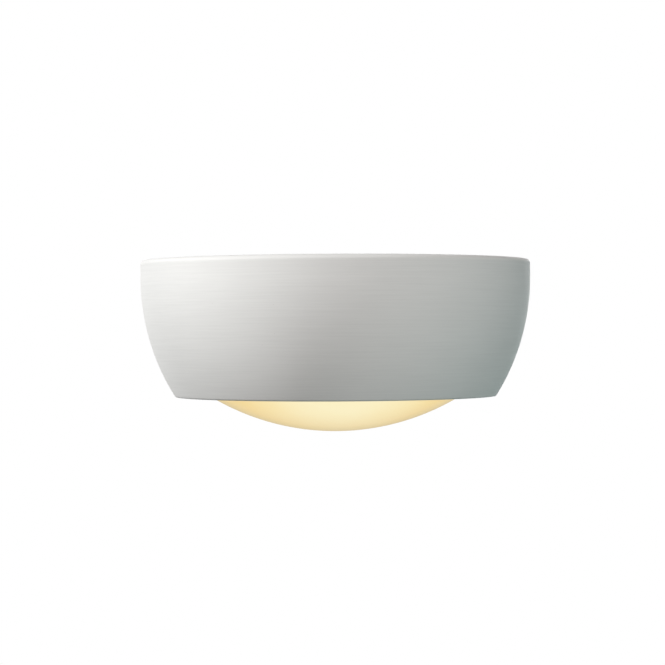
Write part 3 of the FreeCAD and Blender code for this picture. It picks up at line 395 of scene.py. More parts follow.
def make_bisque():
    """Unglazed ceramic: slow clouds, the wheel's lines, a few open pores, and a fine grain."""
    material, tree, shader, at = new_material("bisque", Specular_IOR_Level=0.30)
    tone = effect(tree, CLOUDS, {"Vector": at, "Colour": BISQUE_WHITE, "Size": 0.05, "Tone": 0.010})
    wheel = effect(tree, LINES, {"Vector": at, "Across": ACROSS_Z, "Pitch": 0.0011, "Length": 0.05})
    pores = effect(tree, SPECKS, {"Vector": at, "Spacing": 0.0075, "Share": 0.22, "Spot": 0.045})
    lined = scaled(tree, tone["Colour"], between(tree, wheel["Height"], 0.960, 1.0))
    pored = blend(tree, maths(tree, "MULTIPLY", pores["Mask"], 0.35), lined, DUST_COLOUR)
    dusty = effect(tree, DUST, {"Vector": at, "Colour": pored, "Amount": 0.10})
    feed(tree, shader, Base_Color=dusty["Colour"], Roughness=between(tree, wheel["Height"], 0.66, 0.58))
    fine = bumped(tree, shader, noise(tree, at, BISQUE_GRAINS, 3.0), 0.000004)
    lines_normal = bumped(tree, shader, wheel["Height"], 0.000016, fine)
    bumped(tree, shader, maths(tree, "SUBTRACT", 1.0, pores["Mask"]), 0.00006, lines_normal)
    return material


BISQUE = make_bisque()

# %% [markdown]
# ## Lit opal glass
#
# Opal glass scatters so much light that a lit dish seems to glow by itself, strongest nearest the
# lamp and yellower where the light has come further through the glass. On the dish that glow is
# painted light: an emission colour that depends on the distance to the lamp's bulb, in place of
# the lamp's light coming through the glass, and its darker outline is partly painted shade. The
# lamp's own pearl glass is made the same way, and there it is the lamp's own glow. A lit lamp is
# far brighter than a picture can hold, so the camera sees it dimmed, while what it sheds on the
# bowl and the plate keeps its strength.

# %% Opal and pearl glass
lamp_low, lamp_high = box_mm("lamp_glass")
BULB_R = (lamp_high[2] - lamp_low[2]) / 2
LAMP_Y = (lamp_low[1] + lamp_high[1]) / 2
LAMP_Z = (lamp_low[2] + lamp_high[2]) / 2
BULB_X = lamp_low[0] + BULB_R
BULB_POINT = tuple(float(v) * MM for v in (BULB_X, LAMP_Y, LAMP_Z))
GLASS_IOR = 1.5
SATIN_GRAINS = 1500.0       # to a metre


def make_glow(name, near, far, near_colour, far_colour, seen, shed, **sockets):
    """Glass that glows from near_colour at one distance from the bulb to far_colour at another, with
    the strength `seen` to the camera and `shed` to all it lights. On the dish this glow is painted
    light. At a low angle the glow is weakened as Fresnel's formula says, so its outline is a darker
    line: partly the real loss at the glass's skin, partly painted shade."""
    material, tree, shader, at = new_material(name, **sockets)
    away = spread(tree, vector_maths(tree, "DISTANCE", at, BULB_POINT), near * MM, far * MM)
    uneven = maths(tree, "ADD", away, between(tree, noise(tree, at, 45.0), -0.04, 0.04))
    seen_now = add(tree, "ShaderNodeLightPath").outputs["Is Camera Ray"]
    # Painted shade on the outline: the glow is weakened at a low angle by Fresnel's formula.
    painted_outline_shade = add(tree, "ShaderNodeFresnel", {"IOR": GLASS_IOR}).outputs["Fac"]
    strength = maths(tree, "MULTIPLY", spread(tree, seen_now, 0, 1, shed, seen),
                     maths(tree, "SUBTRACT", 1.0, painted_outline_shade))
    satin = noise(tree, at, SATIN_GRAINS, 3.0)
    feed(tree, shader, Emission_Color=blend(tree, uneven, near_colour, far_colour),
         Emission_Strength=strength, Roughness=between(tree, satin, 0.34, 0.44))
    bumped(tree, shader, satin, 0.000004)
    return material


# The dish's glow is painted light, in place of the lamp's light coming through the glass.
OPAL = make_glow("opal_glass", 58, 92, (1.0, 0.89, 0.55, 1), (0.98, 0.72, 0.26, 1), 1.0, 1.0,
                 Base_Color=(0.20, 0.19, 0.17, 1), IOR=GLASS_IOR, Specular_IOR_Level=0.2)
PEARL = make_glow("pearl_glass", 20, 62, (1.0, 0.88, 0.64, 1), (0.74, 0.57, 0.34, 1), 0.80, 2.4,
                  Base_Color=(0.34, 0.33, 0.30, 1), IOR=GLASS_IOR, Coat_Weight=0.3, Coat_Roughness=0.2)

# %% [markdown]
# ## Metals, plastics, porcelain and leads
#
# The rest is hidden from the front and shows from above and behind. Sheet steel keeps its rolling
# lines under the zinc, and zinc goes cloudy. Turned nickel has finer lines round its own axis.
# Mouldings have a faint orange-peel skin. Each finish is one call with its own numbers.

# %% Metals
def make_metal(name, colour, rough, tone, cloud, across, pitch, length, depth, dust=0.15):
    """Bare or plated metal: cloudy tone, fine lines in the bump and in the roughness, and dust."""
    material, tree, shader, at = new_material(name, Metallic=1.0)
    cloudy = effect(tree, CLOUDS, {"Vector": at, "Colour": (*colour, 1), "Size": cloud, "Tone": tone})
    lines = effect(tree, LINES, {"Vector": at, "Across": across, "Pitch": pitch, "Length": length})
    dusty = effect(tree, DUST, {"Vector": at, "Colour": cloudy["Colour"], "Amount": dust})
    lined = between(tree, lines["Height"], rough * 0.85, rough * 1.25)
    duller = maths(tree, "MULTIPLY_ADD", dusty["Mask"], 0.8, lined)
    feed(tree, shader, Base_Color=dusty["Colour"], Roughness=duller,
         Metallic=maths(tree, "SUBTRACT", 1.0, dusty["Mask"]))
    bumped(tree, shader, lines["Height"], depth)
    return material


ZINC = make_metal("zinc_steel", (0.66, 0.67, 0.68), 0.34, 0.07, 0.009, ACROSS_Z, 0.0007, 0.03, 0.000004)
NICKEL = make_metal("nickel_steel", (0.70, 0.68, 0.64), 0.20, 0.03, 0.012, ACROSS_X, 0.0004, 0.02,
                    0.000002)
KNURL = make_metal("knurled_brass", (0.74, 0.70, 0.62), 0.26, 0.04, 0.008, ACROSS_Y, 0.0005, 0.02,
                   0.000003)
BRASS = make_metal("bronze", (0.73, 0.52, 0.22), 0.28, 0.05, 0.010, ACROSS_Y, 0.0005, 0.02, 0.000003)
SOLDER = make_metal("solder", (0.55, 0.55, 0.57), 0.38, 0.10, 0.003, ACROSS_Z, 0.0012, 0.002, 0.00003)


# %% Plastics, fibre, porcelain and leads
def make_moulding(name, colour, rough, tone, cloud, grain, depth, dust=0.25, **sockets):
    """A moulded or glazed skin: cloudy tone, a grain that shows in the bump and the roughness, dust."""
    material, tree, shader, at = new_material(name, **sockets)
    cloudy = effect(tree, CLOUDS, {"Vector": at, "Colour": (*colour, 1), "Size": cloud, "Tone": tone})
    dusty = effect(tree, DUST, {"Vector": at, "Colour": cloudy["Colour"], "Amount": dust})
    peel = noise(tree, at, 1.0 / grain, 3.0)
    skin = between(tree, peel, rough * 0.9, rough * 1.15)
    duller = maths(tree, "MULTIPLY_ADD", dusty["Mask"], 0.5, skin)
    feed(tree, shader, Base_Color=dusty["Colour"], Roughness=duller)
    bumped(tree, shader, peel, depth)
    return material, tree, shader, at


WHITE_PLASTIC = make_moulding("white_plastic", (0.80, 0.79, 0.74), 0.42, 0.02, 0.01, 0.0012, 0.00001,
                              Subsurface_Weight=0.15, Subsurface_Radius=(0.002, 0.002, 0.0015))[0]
BLACK_PLASTIC = make_moulding("black_plastic", (0.022, 0.022, 0.024), 0.48, 0.05, 0.01, 0.0006,
                              0.00001)[0]
DARK_GLASS = make_moulding("dark_glass", (0.012, 0.012, 0.016), 0.12, 0.05, 0.01, 0.002, 0.00001,
                           dust=0.05)[0]
SLEEVE = (0.46, 0.06, 0.01, 0.0009, 0.00001)        # the leads' sleeves differ only in colour
BROWN_SLEEVE = make_moulding("brown_sleeve", (0.16, 0.060, 0.025), *SLEEVE)[0]
BLUE_SLEEVE = make_moulding("blue_sleeve", (0.020, 0.085, 0.33), *SLEEVE)[0]


def make_porcelain():
    """Glazed porcelain: milky white, a thin clear glaze over a slight ripple, and a few iron specks."""
    material, tree, shader, at = make_moulding(
        "porcelain", (0.80, 0.79, 0.75), 0.30, 0.02, 0.02, 0.005, 0.00003, Coat_Weight=0.8,
        Coat_Roughness=0.06, IOR=GLASS_IOR)
    skin = shader.inputs["Base Color"].links[0].from_socket
    specks = effect(tree, SPECKS, {"Vector": at, "Spacing": 0.005, "Share": 0.10, "Spot": 0.05})
    feed(tree, shader, Base_Color=blend(tree, maths(tree, "MULTIPLY", specks["Mask"], 0.6), skin,
                                        (0.20, 0.14, 0.09, 1)))
    return material


def make_fibre():
    """Vulcanised fibre: red-brown pressed paper, with short pale and dark hairs across the sheet."""
    material, tree, shader, at = make_moulding("fibre", (0.20, 0.035, 0.02), 0.60, 0.10, 0.003,
                                               0.0005, 0.00002)
    skin = shader.inputs["Base Color"].links[0].from_socket
    hairs = effect(tree, LINES, {"Vector": at, "Across": ACROSS_Z, "Pitch": 0.0003, "Length": 0.002})
    pale = spread(tree, hairs["Height"], 0.55, 0.75, 0.0, 0.5)
    feed(tree, shader, Base_Color=blend(tree, pale, skin, (0.42, 0.16, 0.09, 1)))
    return material


def make_stem_glass():
    """The lamp's inner stem, of clear glass."""
    material, tree, shader, at = new_material("stem_glass", Base_Color=(0.92, 0.95, 0.94, 1),
                                              IOR=GLASS_IOR, Transmission_Weight=1.0)
    ripple = noise(tree, at, 300.0)
    feed(tree, shader, Roughness=between(tree, ripple, 0.02, 0.08))
    bumped(tree, shader, ripple, 0.00002)
    return material


PORCELAIN, FIBRE, STEM_GLASS = make_porcelain(), make_fibre(), make_stem_glass()

# %% [markdown]
# ## The bowl
#
# On the wheel the bowl is a full circle. The maker cuts it a little in front of its centre, so the
# plan is slightly less than a half round, and grinds the cut flat. Its profile is a short upright
# band, a large arc that draws in towards the foot, and a turned-in floor with a slanting opening
# in which the glass dish sits.
#
# The grid here is the profile carried round the upright axis, but each point stops where it meets
# the cutting plane. A point at distance rho from the axis does so at the angle whose cosine is
# plane distance / rho, so the ends of the grid lie in one plane by themselves.

# %% Sizes of the bowl, from the frame and the drawing
AXIS_BEHIND_WALL = 27.0
UPRIGHT_BAND = 14.0
SIDE_RADIUS = 174.0
WALL = 7.5
FLOOR = 7.0
FOOT_ROUND = 2.5
COVE = 4.0
ARRIS = 1.2
FLOOR_TAPER = 42.0
RIM_LAND = 7.0
RIM_EDGE_GAP = 0.8
FILLET_STEPS, ARRIS_STEPS, RIM_STEPS, SIDE_STEPS = 10, 6, 20, 60

shade_low, shade_high = box_mm("ceramic_shade")
TOP, BOTTOM = shade_high[2], shade_low[2]
SHADE_GAP = -shade_high[1]
RIM_R = AXIS_BEHIND_WALL - shade_low[1]
SIDE_CENTRE = (RIM_R - SIDE_RADIUS, TOP - UPRIGHT_BAND)
FLOOR_TOP = BOTTOM + FLOOR
print(f"rim radius {RIM_R:.2f}, top {TOP:.1f}, bottom {BOTTOM:.1f}, off the wall {SHADE_GAP:.2f} mm")


# %% The bowl's profile and its grid
def bowl_profile():
    """Distance from the axis and height, once round the section, starting at the opening's foot."""
    foot, foot_angle = level_to_arc(SIDE_CENTRE, SIDE_RADIUS, BOTTOM, FOOT_ROUND, FILLET_STEPS)
    cove, cove_angle = level_to_arc(SIDE_CENTRE, SIDE_RADIUS - WALL, FLOOR_TOP, COVE, FILLET_STEPS)
    opening = cove[0][0] - RIM_EDGE_GAP - RIM_LAND
    opening_foot = opening - FLOOR * math.tan(math.radians(FLOOR_TAPER))
    lip_foot = corner_round((opening, FLOOR_TOP), (opening_foot, BOTTOM), foot[0], ARRIS, ARRIS_STEPS)
    lip_top = corner_round(cove[0], (opening, FLOOR_TOP), (opening_foot, BOTTOM), ARRIS,
                           ARRIS_STEPS)
    rim = (RIM_R - WALL / 2, TOP - WALL / 2)
    return np.vstack([
        lip_foot, straight(lip_foot[-1], foot[0], 10), foot,
        arc(SIDE_CENTRE, SIDE_RADIUS, foot_angle, 0, SIDE_STEPS)[1:],
        straight((RIM_R, SIDE_CENTRE[1]), (RIM_R, rim[1]), 7),
        arc(rim, WALL / 2, 0, 180, RIM_STEPS),
        straight((RIM_R - WALL, rim[1]), (RIM_R - WALL, SIDE_CENTRE[1]), 7),
        arc(SIDE_CENTRE, SIDE_RADIUS - WALL, 0, cove_angle, SIDE_STEPS)[:-1], cove[::-1],
        straight(cove[0], lip_top[0], 4), lip_top, straight(lip_top[-1], lip_foot[0], 5)])


def cut_bowl(profile, gap, columns):
    """The profile carried round the bowl's axis as far as the plane `gap` in front of the wall."""
    rho, height = profile[:, :1], profile[:, 1:]
    widest = np.arccos((AXIS_BEHIND_WALL + gap) / rho)
    angle = widest * np.linspace(-1, 1, columns)[None, :]
    across = rho * np.sin(angle)
    outwards = AXIS_BEHIND_WALL - rho * np.cos(angle)
    return np.stack([across, outwards, np.broadcast_to(height, across.shape)], -1)


def closed_ends(rows, columns):
    """One flat face at each end of a grid whose rows close on themselves."""
    first = tuple(i * columns for i in range(rows))
    last = tuple(i * columns + columns - 1 for i in reversed(range(rows)))
    return [first, last]


BOWL_COLUMNS = 240
profile = bowl_profile()
bowl_grid = cut_bowl(profile, SHADE_GAP, BOWL_COLUMNS)
bowl_faces = squares(len(profile), BOWL_COLUMNS, close_rows=True)
bowl_faces += closed_ends(len(profile), BOWL_COLUMNS)

# %% [markdown]
# Two lugs are cast in one with the bowl, behind the rim, and the fixing screws pull on them. A lug
# is a plate with a hole, so its grid goes round the hole: each column runs from the hole's front
# edge over the plate's edge to the hole's back edge. The outline is read off in polar form, as a
# distance from the hole for every direction, and stops inside the bowl's wall.

# %% The lugs
LUG_THICK = 8.0
LUG_HEIGHT = 32.0
LUG_NOSE = 13.0
LUG_SLOPE_DROP = 20.0
LUG_CORNER = 9.0
LUG_EDGE = 1.2              # the cast edges are eased by this
EASE_STEPS = 5
LUG_HOLE_R = 2.5
WASHER_GAP = 0.3            # between the washer and the lug
screw_low, screw_high = box_mm("fixing_screw_right")
SCREW_X = (screw_low[0] + screw_high[0]) / 2
SCREW_Z = (screw_low[2] + screw_high[2]) / 2
washer_high = box_mm("screw_washer_right")[1]
LUG_FRONT = -washer_high[1] - WASHER_GAP
LUG_BACK = LUG_FRONT - LUG_THICK


def lug_outline(columns):
    """The lug's outline from its hole: a direction and a distance for each column."""
    nose, top, low = -LUG_NOSE, LUG_HEIGHT / 2, -LUG_HEIGHT / 2
    side = RIM_R - SCREW_X
    corners = [(nose, top), (side, top), (side, low - LUG_SLOPE_DROP), (nose, low)]
    upper = corner_round(corners[1], corners[0], corners[3], LUG_CORNER, 24)
    lower = corner_round(corners[0], corners[3], corners[2], LUG_CORNER, 24)
    walk = np.vstack([
        straight(corners[1], upper[0], 60), upper, straight(upper[-1], lower[0], 60), lower,
        straight(lower[-1], corners[2], 120), straight(corners[2], corners[1], 200)])
    under_band = np.minimum(0, walk[:, 1] + SCREW_Z - SIDE_CENTRE[1])
    middle = SIDE_CENTRE[0] + np.sqrt((SIDE_RADIUS - WALL / 2) ** 2 - under_band ** 2)
    wall_x = np.sqrt(middle ** 2 - (AXIS_BEHIND_WALL + LUG_FRONT) ** 2)
    walk[:, 0] = np.minimum(walk[:, 0], wall_x - SCREW_X)
    angle = np.arctan2(walk[:, 1], walk[:, 0])
    order = np.argsort(angle)
    even = np.linspace(-np.pi, np.pi, columns, endpoint=False)
    reach = np.hypot(walk[:, 0], walk[:, 1])
    return even, np.interp(even, angle[order], reach[order], period=2 * np.pi)


def lug_grid(side, columns):
    """Rows: hole's front edge, plate's front, eased edge, plate's back, hole's back edge."""
    angle, reach = lug_outline(columns)
    turn = np.radians(np.linspace(0, 90, EASE_STEPS))
    eases = list(zip(LUG_EDGE * (1 - np.sin(turn)), LUG_EDGE * (1 - np.cos(turn))))
    hole = np.full(columns, LUG_HOLE_R)
    rows = [(hole, LUG_FRONT)] + [(reach - inset, LUG_FRONT - drop) for inset, drop in eases]
    rows += [(reach - inset, LUG_BACK + drop) for inset, drop in reversed(eases)] + [(hole, LUG_BACK)]
    points = [np.stack([side * (SCREW_X + r * np.cos(angle)), np.full(columns, -out),
                        SCREW_Z + r * np.sin(angle)], -1) for r, out in rows]
    return np.stack(points)


LUG_COLUMNS = 144
lug_grids = [lug_grid(side, LUG_COLUMNS) for side in (-1, 1)]
lugs = [(grid, squares(len(grid), LUG_COLUMNS, True, True)) for grid in lug_grids]
piece("bowl", [(bowl_grid, bowl_faces)] + lugs, BISQUE, "shade", ["ceramic_shade"])

# %% [markdown]
# ## The glass dish
#
# The dish was slumped over a mould: part of a sphere with a flat rim, cut off flat behind. Turning
# it about the bowl's axis would squeeze the grid to nothing at the middle of its back edge, where
# everyone looks from below. So its rays start there instead and fan out to the rim. Along a ray
# the distance to a circle about the axis comes from the cosine rule, and the height from the
# sphere: centre height minus the root of radius squared minus distance from the axis squared.

# %% The dish
GLASS = 4.0
DISH_CLEAR = 1.6
MOUTH_DROP = 0.3            # the sphere starts this far under the rim's seat
EDGE_STEPS = 14
glass_low, glass_high = box_mm("glass_diffuser")
GLASS_GAP = -glass_high[1]
GLASS_RIM_R = AXIS_BEHIND_WALL - glass_low[1]
SEAT = glass_high[2] - GLASS
DISH_MOUTH_R = GLASS_RIM_R - RIM_LAND - DISH_CLEAR
BACK = AXIS_BEHIND_WALL + GLASS_GAP
RISE = SEAT - MOUTH_DROP - glass_low[2]
OVER_BACK = (DISH_MOUTH_R ** 2 - BACK ** 2 + RISE ** 2) / (2 * RISE)
DISH_RADIUS = math.sqrt(OVER_BACK ** 2 + BACK ** 2)
DISH_CENTRE_Z = glass_low[2] + math.sqrt(DISH_RADIUS ** 2 - BACK ** 2)


def reach_of(rho, angle):
    """How far along a ray from the back edge's middle a circle of radius rho about the axis is."""
    return np.sqrt(rho ** 2 - (BACK * np.sin(angle)) ** 2) - BACK * np.cos(angle)


def dish_skin(radius, level, angle, rows):
    """Rows of a spherical skin from the back edge's middle out to where it meets a level."""
    mouth = math.sqrt(radius ** 2 - (DISH_CENTRE_Z - level) ** 2)
    reach = np.linspace(0, 1, rows)[:, None] * reach_of(mouth, angle)[None, :]
    rho_squared = reach ** 2 + BACK ** 2 + 2 * reach * BACK * np.cos(angle)
    return reach, DISH_CENTRE_Z - np.sqrt(radius ** 2 - rho_squared)


def dish_grid(rows, columns):
    """Once round the section along every ray: outer skin, rim, inner skin."""
    angle = np.radians(np.linspace(-90, 90, columns))
    top = SEAT + GLASS
    outer_reach, outer_z = dish_skin(DISH_RADIUS, SEAT, angle, rows)
    inner_reach, inner_z = dish_skin(DISH_RADIUS - GLASS, top, angle, rows)
    edge = arc((GLASS_RIM_R - GLASS / 2, SEAT + GLASS / 2), GLASS / 2, -90, 90, EDGE_STEPS)
    edge_reach = reach_of(edge[:, :1], angle[None, :])
    edge_z = np.broadcast_to(edge[:, 1:], edge_reach.shape)
    reach = np.vstack([outer_reach, edge_reach, inner_reach[::-1]])
    z = np.vstack([outer_z, edge_z, inner_z[::-1]])
    return np.stack([reach * np.sin(angle), -GLASS_GAP - reach * np.cos(angle), z], -1)


DISH_ROWS, DISH_COLUMNS = 56, 180
dish_points = dish_grid(DISH_ROWS, DISH_COLUMNS)
dish_faces = squares(len(dish_points), DISH_COLUMNS, close_rows=True)
dish_faces += closed_ends(len(dish_points), DISH_COLUMNS)
piece("dish", [(dish_points, dish_faces)], OPAL, "diffuser", ["glass_diffuser"], sharp=50)

# %% [markdown]
# ## The lamp's screw thread
#
# The CAD model leaves the thread out and makes cap and shell as plain tubes. Here both get the
# rolled, wavy thread of a household lamp: the radius is a mean plus a cosine, and its phase is
# `distance along the lamp / pitch - turns round the lamp`. Cap and shell use one phase, so the
# crests of the one lie in the roots of the other. The lamp's joint advances it by the same pitch,
# so they go on meshing while it is screwed out.

# %% Threads
THREAD_PITCH = 3.629
THREAD_DEPTH = 0.9
RUN_OUT = 1.2               # length over which the cap's thread fades
THREAD_ROWS_PER_TURN = 16
THREAD_COLUMNS = 72


def about_lamp(x, radius, columns):
    """A surface round the lamp's axis: x and radius are one number a row, or one a grid point."""
    angle = np.linspace(0, 2 * np.pi, columns, endpoint=False)[None, :]
    x, radius = np.broadcast_arrays(x, radius)
    across, up = LAMP_Y + radius * np.sin(angle), LAMP_Z + radius * np.cos(angle)
    return np.stack([x + 0 * angle, across, up], -1)


def wave(x, columns):
    """The thread's wave, from 0 at a crest to -1 at a root, at every point of the surface."""
    turns = np.linspace(0, 1, columns, endpoint=False)[None, :]
    return -0.5 + 0.5 * np.cos(2 * np.pi * (-x[:, None] / THREAD_PITCH - turns))


def thread_rows(start, end):
    """Places along the lamp's axis, close enough together for a smooth thread."""
    return np.linspace(start, end, int(abs(end - start) / THREAD_PITCH * THREAD_ROWS_PER_TURN) + 1)


def fade(x, start, end, run):
    """1 between start and end, falling to 0 over `run` at both ends."""
    return np.clip((x - start) / run, 0, 1) * np.clip((end - x) / run, 0, 1)


def threaded_tube(x, crest, depth, wall, ends):
    """Outside rows, then inside rows back, of a thin tube with a wave in it; `ends` are plain rows
    of (x, radius) added beyond the last outside row. Crest and depth are one number a row."""
    wavy = crest[:, None] + wave(x, THREAD_COLUMNS) * depth[:, None]
    outside = about_lamp(x[:, None], wavy, THREAD_COLUMNS)
    inside = about_lamp(x[::-1, None], (wavy - wall)[::-1], THREAD_COLUMNS)
    plain = [about_lamp(np.array([[px]]), np.array([[pr]]), THREAD_COLUMNS) for px, pr in ends]
    return np.vstack([outside, *plain, inside])


cap_low, cap_high = box_mm("lamp_cap")
CAP_R = (cap_high[2] - cap_low[2]) / 2
CAP_WALL = 0.4
CAP_TAPER = 3.4
CAP_SKIRT = 5.2             # the plain collar in which the glass is cemented
CAP_SLOPE = 1.2             # how much the radius falls along the taper
cap_end = cap_high[0]
shoulder = cap_end - CAP_TAPER
cap_small = CAP_R - CAP_SLOPE * CAP_TAPER
cap_hole = cap_small - 2 * CAP_WALL
cap_x = thread_rows(cap_low[0], shoulder)
cap_depth = THREAD_DEPTH * fade(cap_x, cap_low[0] + CAP_SKIRT, shoulder, RUN_OUT)
# At the shoulder the thread ends at its root, so that the cap enters the shell easily.
cap_crest = CAP_R - THREAD_DEPTH * (1 - fade(cap_x, cap_low[0] - RUN_OUT, shoulder, RUN_OUT))
cap_points = threaded_tube(cap_x, cap_crest, cap_depth, CAP_WALL, [
    (cap_end, cap_small), (cap_end, cap_hole), (cap_end - CAP_WALL, cap_hole)])
piece("screw_cap", [(cap_points, squares(len(cap_points), THREAD_COLUMNS, True, True))],
      NICKEL, "lamp", ["lamp_cap"], sharp=30)

shell_low, shell_high = box_mm("screw_shell")
SHELL_R = (shell_high[2] - shell_low[2]) / 2
SHELL_WALL = 0.5
SHELL_FLANGE = 2.8          # the flange at its foot reaches this far in
SHELL_ROUND = 0.8           # the round that leads into the flange
SHELL_PLAIN = 1.2           # no thread nearer the foot than this
SHELL_RUN_OUT = 1.0
shell_end = shell_high[0]
shell_x = thread_rows(shell_low[0], shell_end - SHELL_ROUND)
shell_crest = np.full(len(shell_x), SHELL_R)
shell_depth = THREAD_DEPTH * fade(shell_x, shell_low[0], shell_end - SHELL_PLAIN, SHELL_RUN_OUT)
foot = [(0.3, 0.15), (0, SHELL_ROUND), (0, SHELL_FLANGE), (SHELL_WALL, SHELL_FLANGE), (SHELL_WALL, 1.0)]
shell_points = threaded_tube(shell_x, shell_crest, shell_depth, SHELL_WALL,
                             [(shell_end - short, SHELL_R - inset) for short, inset in foot])
piece("threaded_shell", [(shell_points, squares(len(shell_points), THREAD_COLUMNS, True, True))],
      NICKEL, "root", ["screw_shell"], sharp=30)

# %% [markdown]
# ## Pressed and moulded pieces
#
# Sheet metal and mouldings have the right shape already, but their edges are knife sharp, and no
# sharp edge catches the light. A copy of each is merged into one skin, its flat faces are joined,
# and a bevel of a fraction of a millimetre eases every edge. The earth lead's green and yellow
# come from which way its skin faces.

# %% Eased copies
MERGE = 2e-6                # metres
FLAT_ANGLE, EASED_ANGLE = 0.5, 35       # degrees: faces that are one plane, and edges that get a bevel


def eased(node, name, body, material, width):
    """A copy of a CAD node with merged points, whole flat faces and edges eased by `width` mm."""
    mesh = nodes[node].data.copy()
    mesh.name = name
    mesh.materials.clear()
    work = bmesh.new()
    work.from_mesh(mesh)
    bmesh.ops.remove_doubles(work, verts=work.verts, dist=MERGE)
    bmesh.ops.dissolve_limit(work, angle_limit=math.radians(FLAT_ANGLE), verts=work.verts,
                             edges=work.edges)
    bmesh.ops.recalc_face_normals(work, faces=work.faces)
    work.to_mesh(mesh)
    work.free()
    obj = finish_piece(name, mesh, material, body, [node], 30)
    bevel = obj.modifiers.new("ease", "BEVEL")
    bevel.width, bevel.segments = width * MM, 2
    bevel.limit_method, bevel.angle_limit = "ANGLE", math.radians(EASED_ANGLE)
    bevel.use_clamp_overlap = True
    bevel.harden_normals = False
    return obj


eased("wall_bracket", "back_plate", "root", ZINC, 0.25)
eased("lampholder_bracket", "holder_arm", "root", ZINC, 0.25)
eased("terminal_block", "mains_connector", "root", WHITE_PLASTIC, 0.3)
eased("wire_clip", "saddle", "root", WHITE_PLASTIC, 0.2)
eased("earth_tag", "ring_tag", "root", BRASS, 0.12)


# %% Earth lead
def make_earth_sleeve():
    """Green with two yellow stripes: yellow where the skin faces up and out, or down and back."""
    material, tree, shader, at = make_moulding("earth_sleeve", (0.03, 0.20, 0.05), *SLEEVE)
    skin = shader.inputs["Base Color"].links[0].from_socket
    normal = add(tree, "ShaderNodeNewGeometry").outputs["Normal"]
    facing = vector_maths(tree, "DOT_PRODUCT", normal, (0.0, -0.75, 0.66))
    stripe = spread(tree, maths(tree, "ABSOLUTE", facing), 0.66, 0.72)
    feed(tree, shader, Base_Color=blend(tree, stripe, skin, (0.72, 0.55, 0.03, 1)))
    return material


EARTH_SLEEVE = make_earth_sleeve()

# %% Finishes of the pieces kept from the CAD model
FINISHES = {
    NICKEL: ["threaded_bush_left", "threaded_bush_right", "bracket_screws", "holder_screws",
             "holder_nuts", "terminal_screws", "block_screw"],
    KNURL: ["fixing_screw_left", "fixing_screw_right"],
    FIBRE: ["screw_washer_left", "screw_washer_right"],
    BLACK_PLASTIC: ["cable_bush"],
    PORCELAIN: ["lampholder_body"],
    BRASS: ["centre_contact", "holder_terminal_screws", "terminal_inserts", "earth_screw"],
    PEARL: ["lamp_glass"],
    STEM_GLASS: ["lamp_mount"],
    DARK_GLASS: ["lamp_insulator"],
    SOLDER: ["lamp_contact"],
    BROWN_SLEEVE: ["wire_live"],
    BLUE_SLEEVE: ["wire_neutral"],
    EARTH_SLEEVE: ["wire_earth"],
}
for material, names in FINISHES.items():
    for name in names:
        nodes[name].material_slots[0].material = material
print("finished:", sum(len(names) for names in FINISHES.values()), "CAD nodes")

# %% [markdown]
# ## The floor, the white ground and the lamps
#
# The photograph is cut out on white, and no wall shows in it, so there is none here either. A pale
# floor lies well below, out of the picture, and fades away towards its rim and from beneath. What
# the camera sees behind the light is a white world. For every other ray the world is a dim even
# grey.
#
# The picture is lit hard from the left by two lamps, one nearly level and one from above. Two more
# stand in front, and a weak one low on the right gives that side its cool edge. The last, behind,
# lights the back, which the picture doesn't show. Each is placed by its direction from the bowl.

# %% Floor
FLOOR_Z = -1.5
FLOOR_RADIUS = 1.0
FLOOR_RINGS, FLOOR_SPOKES = 12, 96


def make_floor_paint():
    """Pale matt paint that fades to nothing towards the rim, and can't be seen from below."""
    material, tree, shader, at = new_material("floor_paint", Roughness=0.7)
    paint = (0.72, 0.72, 0.71, 1)
    tone = effect(tree, CLOUDS, {"Vector": at, "Colour": paint, "Size": 0.3, "Tone": 0.02})
    feed(tree, shader, Base_Color=tone["Colour"])
    away = vector_maths(tree, "LENGTH", vector_maths(tree, "MULTIPLY", at, (1, 1, 0)))
    fading = spread(tree, away, FLOOR_RADIUS * 0.45, FLOOR_RADIUS * 0.98)
    beneath = add(tree, "ShaderNodeNewGeometry").outputs["Backfacing"]
    gone = maths(tree, "MAXIMUM", fading, beneath)
    clear = add(tree, "ShaderNodeBsdfTransparent")
    mix = add(tree, "ShaderNodeMixShader", {0: gone, 1: shader.outputs[0], 2: clear.outputs[0]})
    tree.links.new(mix.outputs[0], tree.nodes["Material Output"].inputs["Surface"])
    return material


def make_floor():
    """A disc of rings, made of a grid of radius and angle."""
    radius = np.linspace(0, FLOOR_RADIUS, FLOOR_RINGS)[:, None]
    angle = np.linspace(0, 2 * np.pi, FLOOR_SPOKES, endpoint=False)[None, :]
    level = FLOOR_Z + 0 * radius * angle
    points = np.stack([radius * np.cos(angle), radius * np.sin(angle), level], -1)
    mesh = bpy.data.meshes.new("floor")
    faces = squares(FLOOR_RINGS, FLOOR_SPOKES, close_columns=True)
    mesh.from_pydata(points.reshape(-1, 3).tolist(), [], faces)
    mesh.materials.append(make_floor_paint())
    floor = bpy.data.objects.new("floor", mesh)
    bpy.context.scene.collection.objects.link(floor)


make_floor()


# %% World
AMBIENT = 0.03


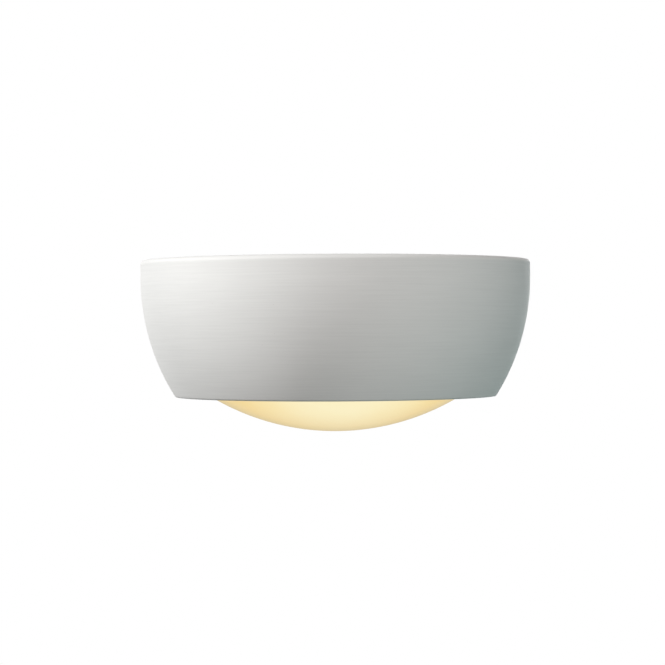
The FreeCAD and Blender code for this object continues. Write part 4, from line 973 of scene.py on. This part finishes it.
def make_world():
    """White to the camera and in mirrors and glass; a dim even grey to everything else."""
    world = bpy.data.worlds.new("white_ground")
    world.use_nodes = True
    tree = world.node_tree
    seen = tree.nodes["Background"]
    seen.inputs["Color"].default_value, seen.inputs["Strength"].default_value = (1, 1, 1, 1), 1.0
    lit = add(tree, "ShaderNodeBackground", {"Color": (1, 1, 1, 1), "Strength": AMBIENT})
    ray = add(tree, "ShaderNodeLightPath").outputs
    mirror = maths(tree, "MAXIMUM", ray["Is Glossy Ray"], ray["Is Transmission Ray"])
    direct = maths(tree, "MAXIMUM", ray["Is Camera Ray"], mirror)
    mix = add(tree, "ShaderNodeMixShader", {0: direct, 1: lit.outputs[0], 2: seen.outputs[0]})
    tree.links.new(mix.outputs[0], tree.nodes["World Output"].inputs["Surface"])
    bpy.context.scene.world = world


make_world()

# %% Lamps
LAMPS = {                   # azimuth from the front, elevation, size in metres, watts, colour
    "left": (-90, 9, 0.5, 24.5, (0.99, 1.0, 0.98)),
    "key": (-75, 32, 0.5, 31.0, (1.0, 0.98, 0.99)),
    "front_left": (-20, 28, 0.5, 10.0, (0.95, 1.0, 0.94)),
    "front_right": (18, 21, 0.5, 24.5, (1.0, 0.96, 0.95)),
    "right": (90, -35, 0.5, 6.5, (0.50, 1.0, 0.95)),
    "behind": (165, 5, 1.0, 22.0, (1.0, 1.0, 1.0)),
}
LAMP_DISTANCE = 2.4


def place_lamp(name, azimuth, elevation, size, watts, colour):
    """A square area lamp that faces the bowl from a direction; azimuth runs towards the right."""
    a, e = math.radians(azimuth), math.radians(elevation)
    towards = Vector((math.sin(a) * math.cos(e), -math.cos(a) * math.cos(e), math.sin(e)))
    data = bpy.data.lights.new(name, "AREA")
    data.size, data.energy, data.color = size, watts, colour
    obj = bpy.data.objects.new(name, data)
    bpy.context.scene.collection.objects.link(obj)
    obj.location = towards * LAMP_DISTANCE
    obj.rotation_mode = "QUATERNION"
    obj.rotation_quaternion = (-towards).to_track_quat("-Z", "Y")


for name, settings in LAMPS.items():
    place_lamp(name, *settings)

# %% View
bpy.context.scene.view_settings.view_transform = "Standard"
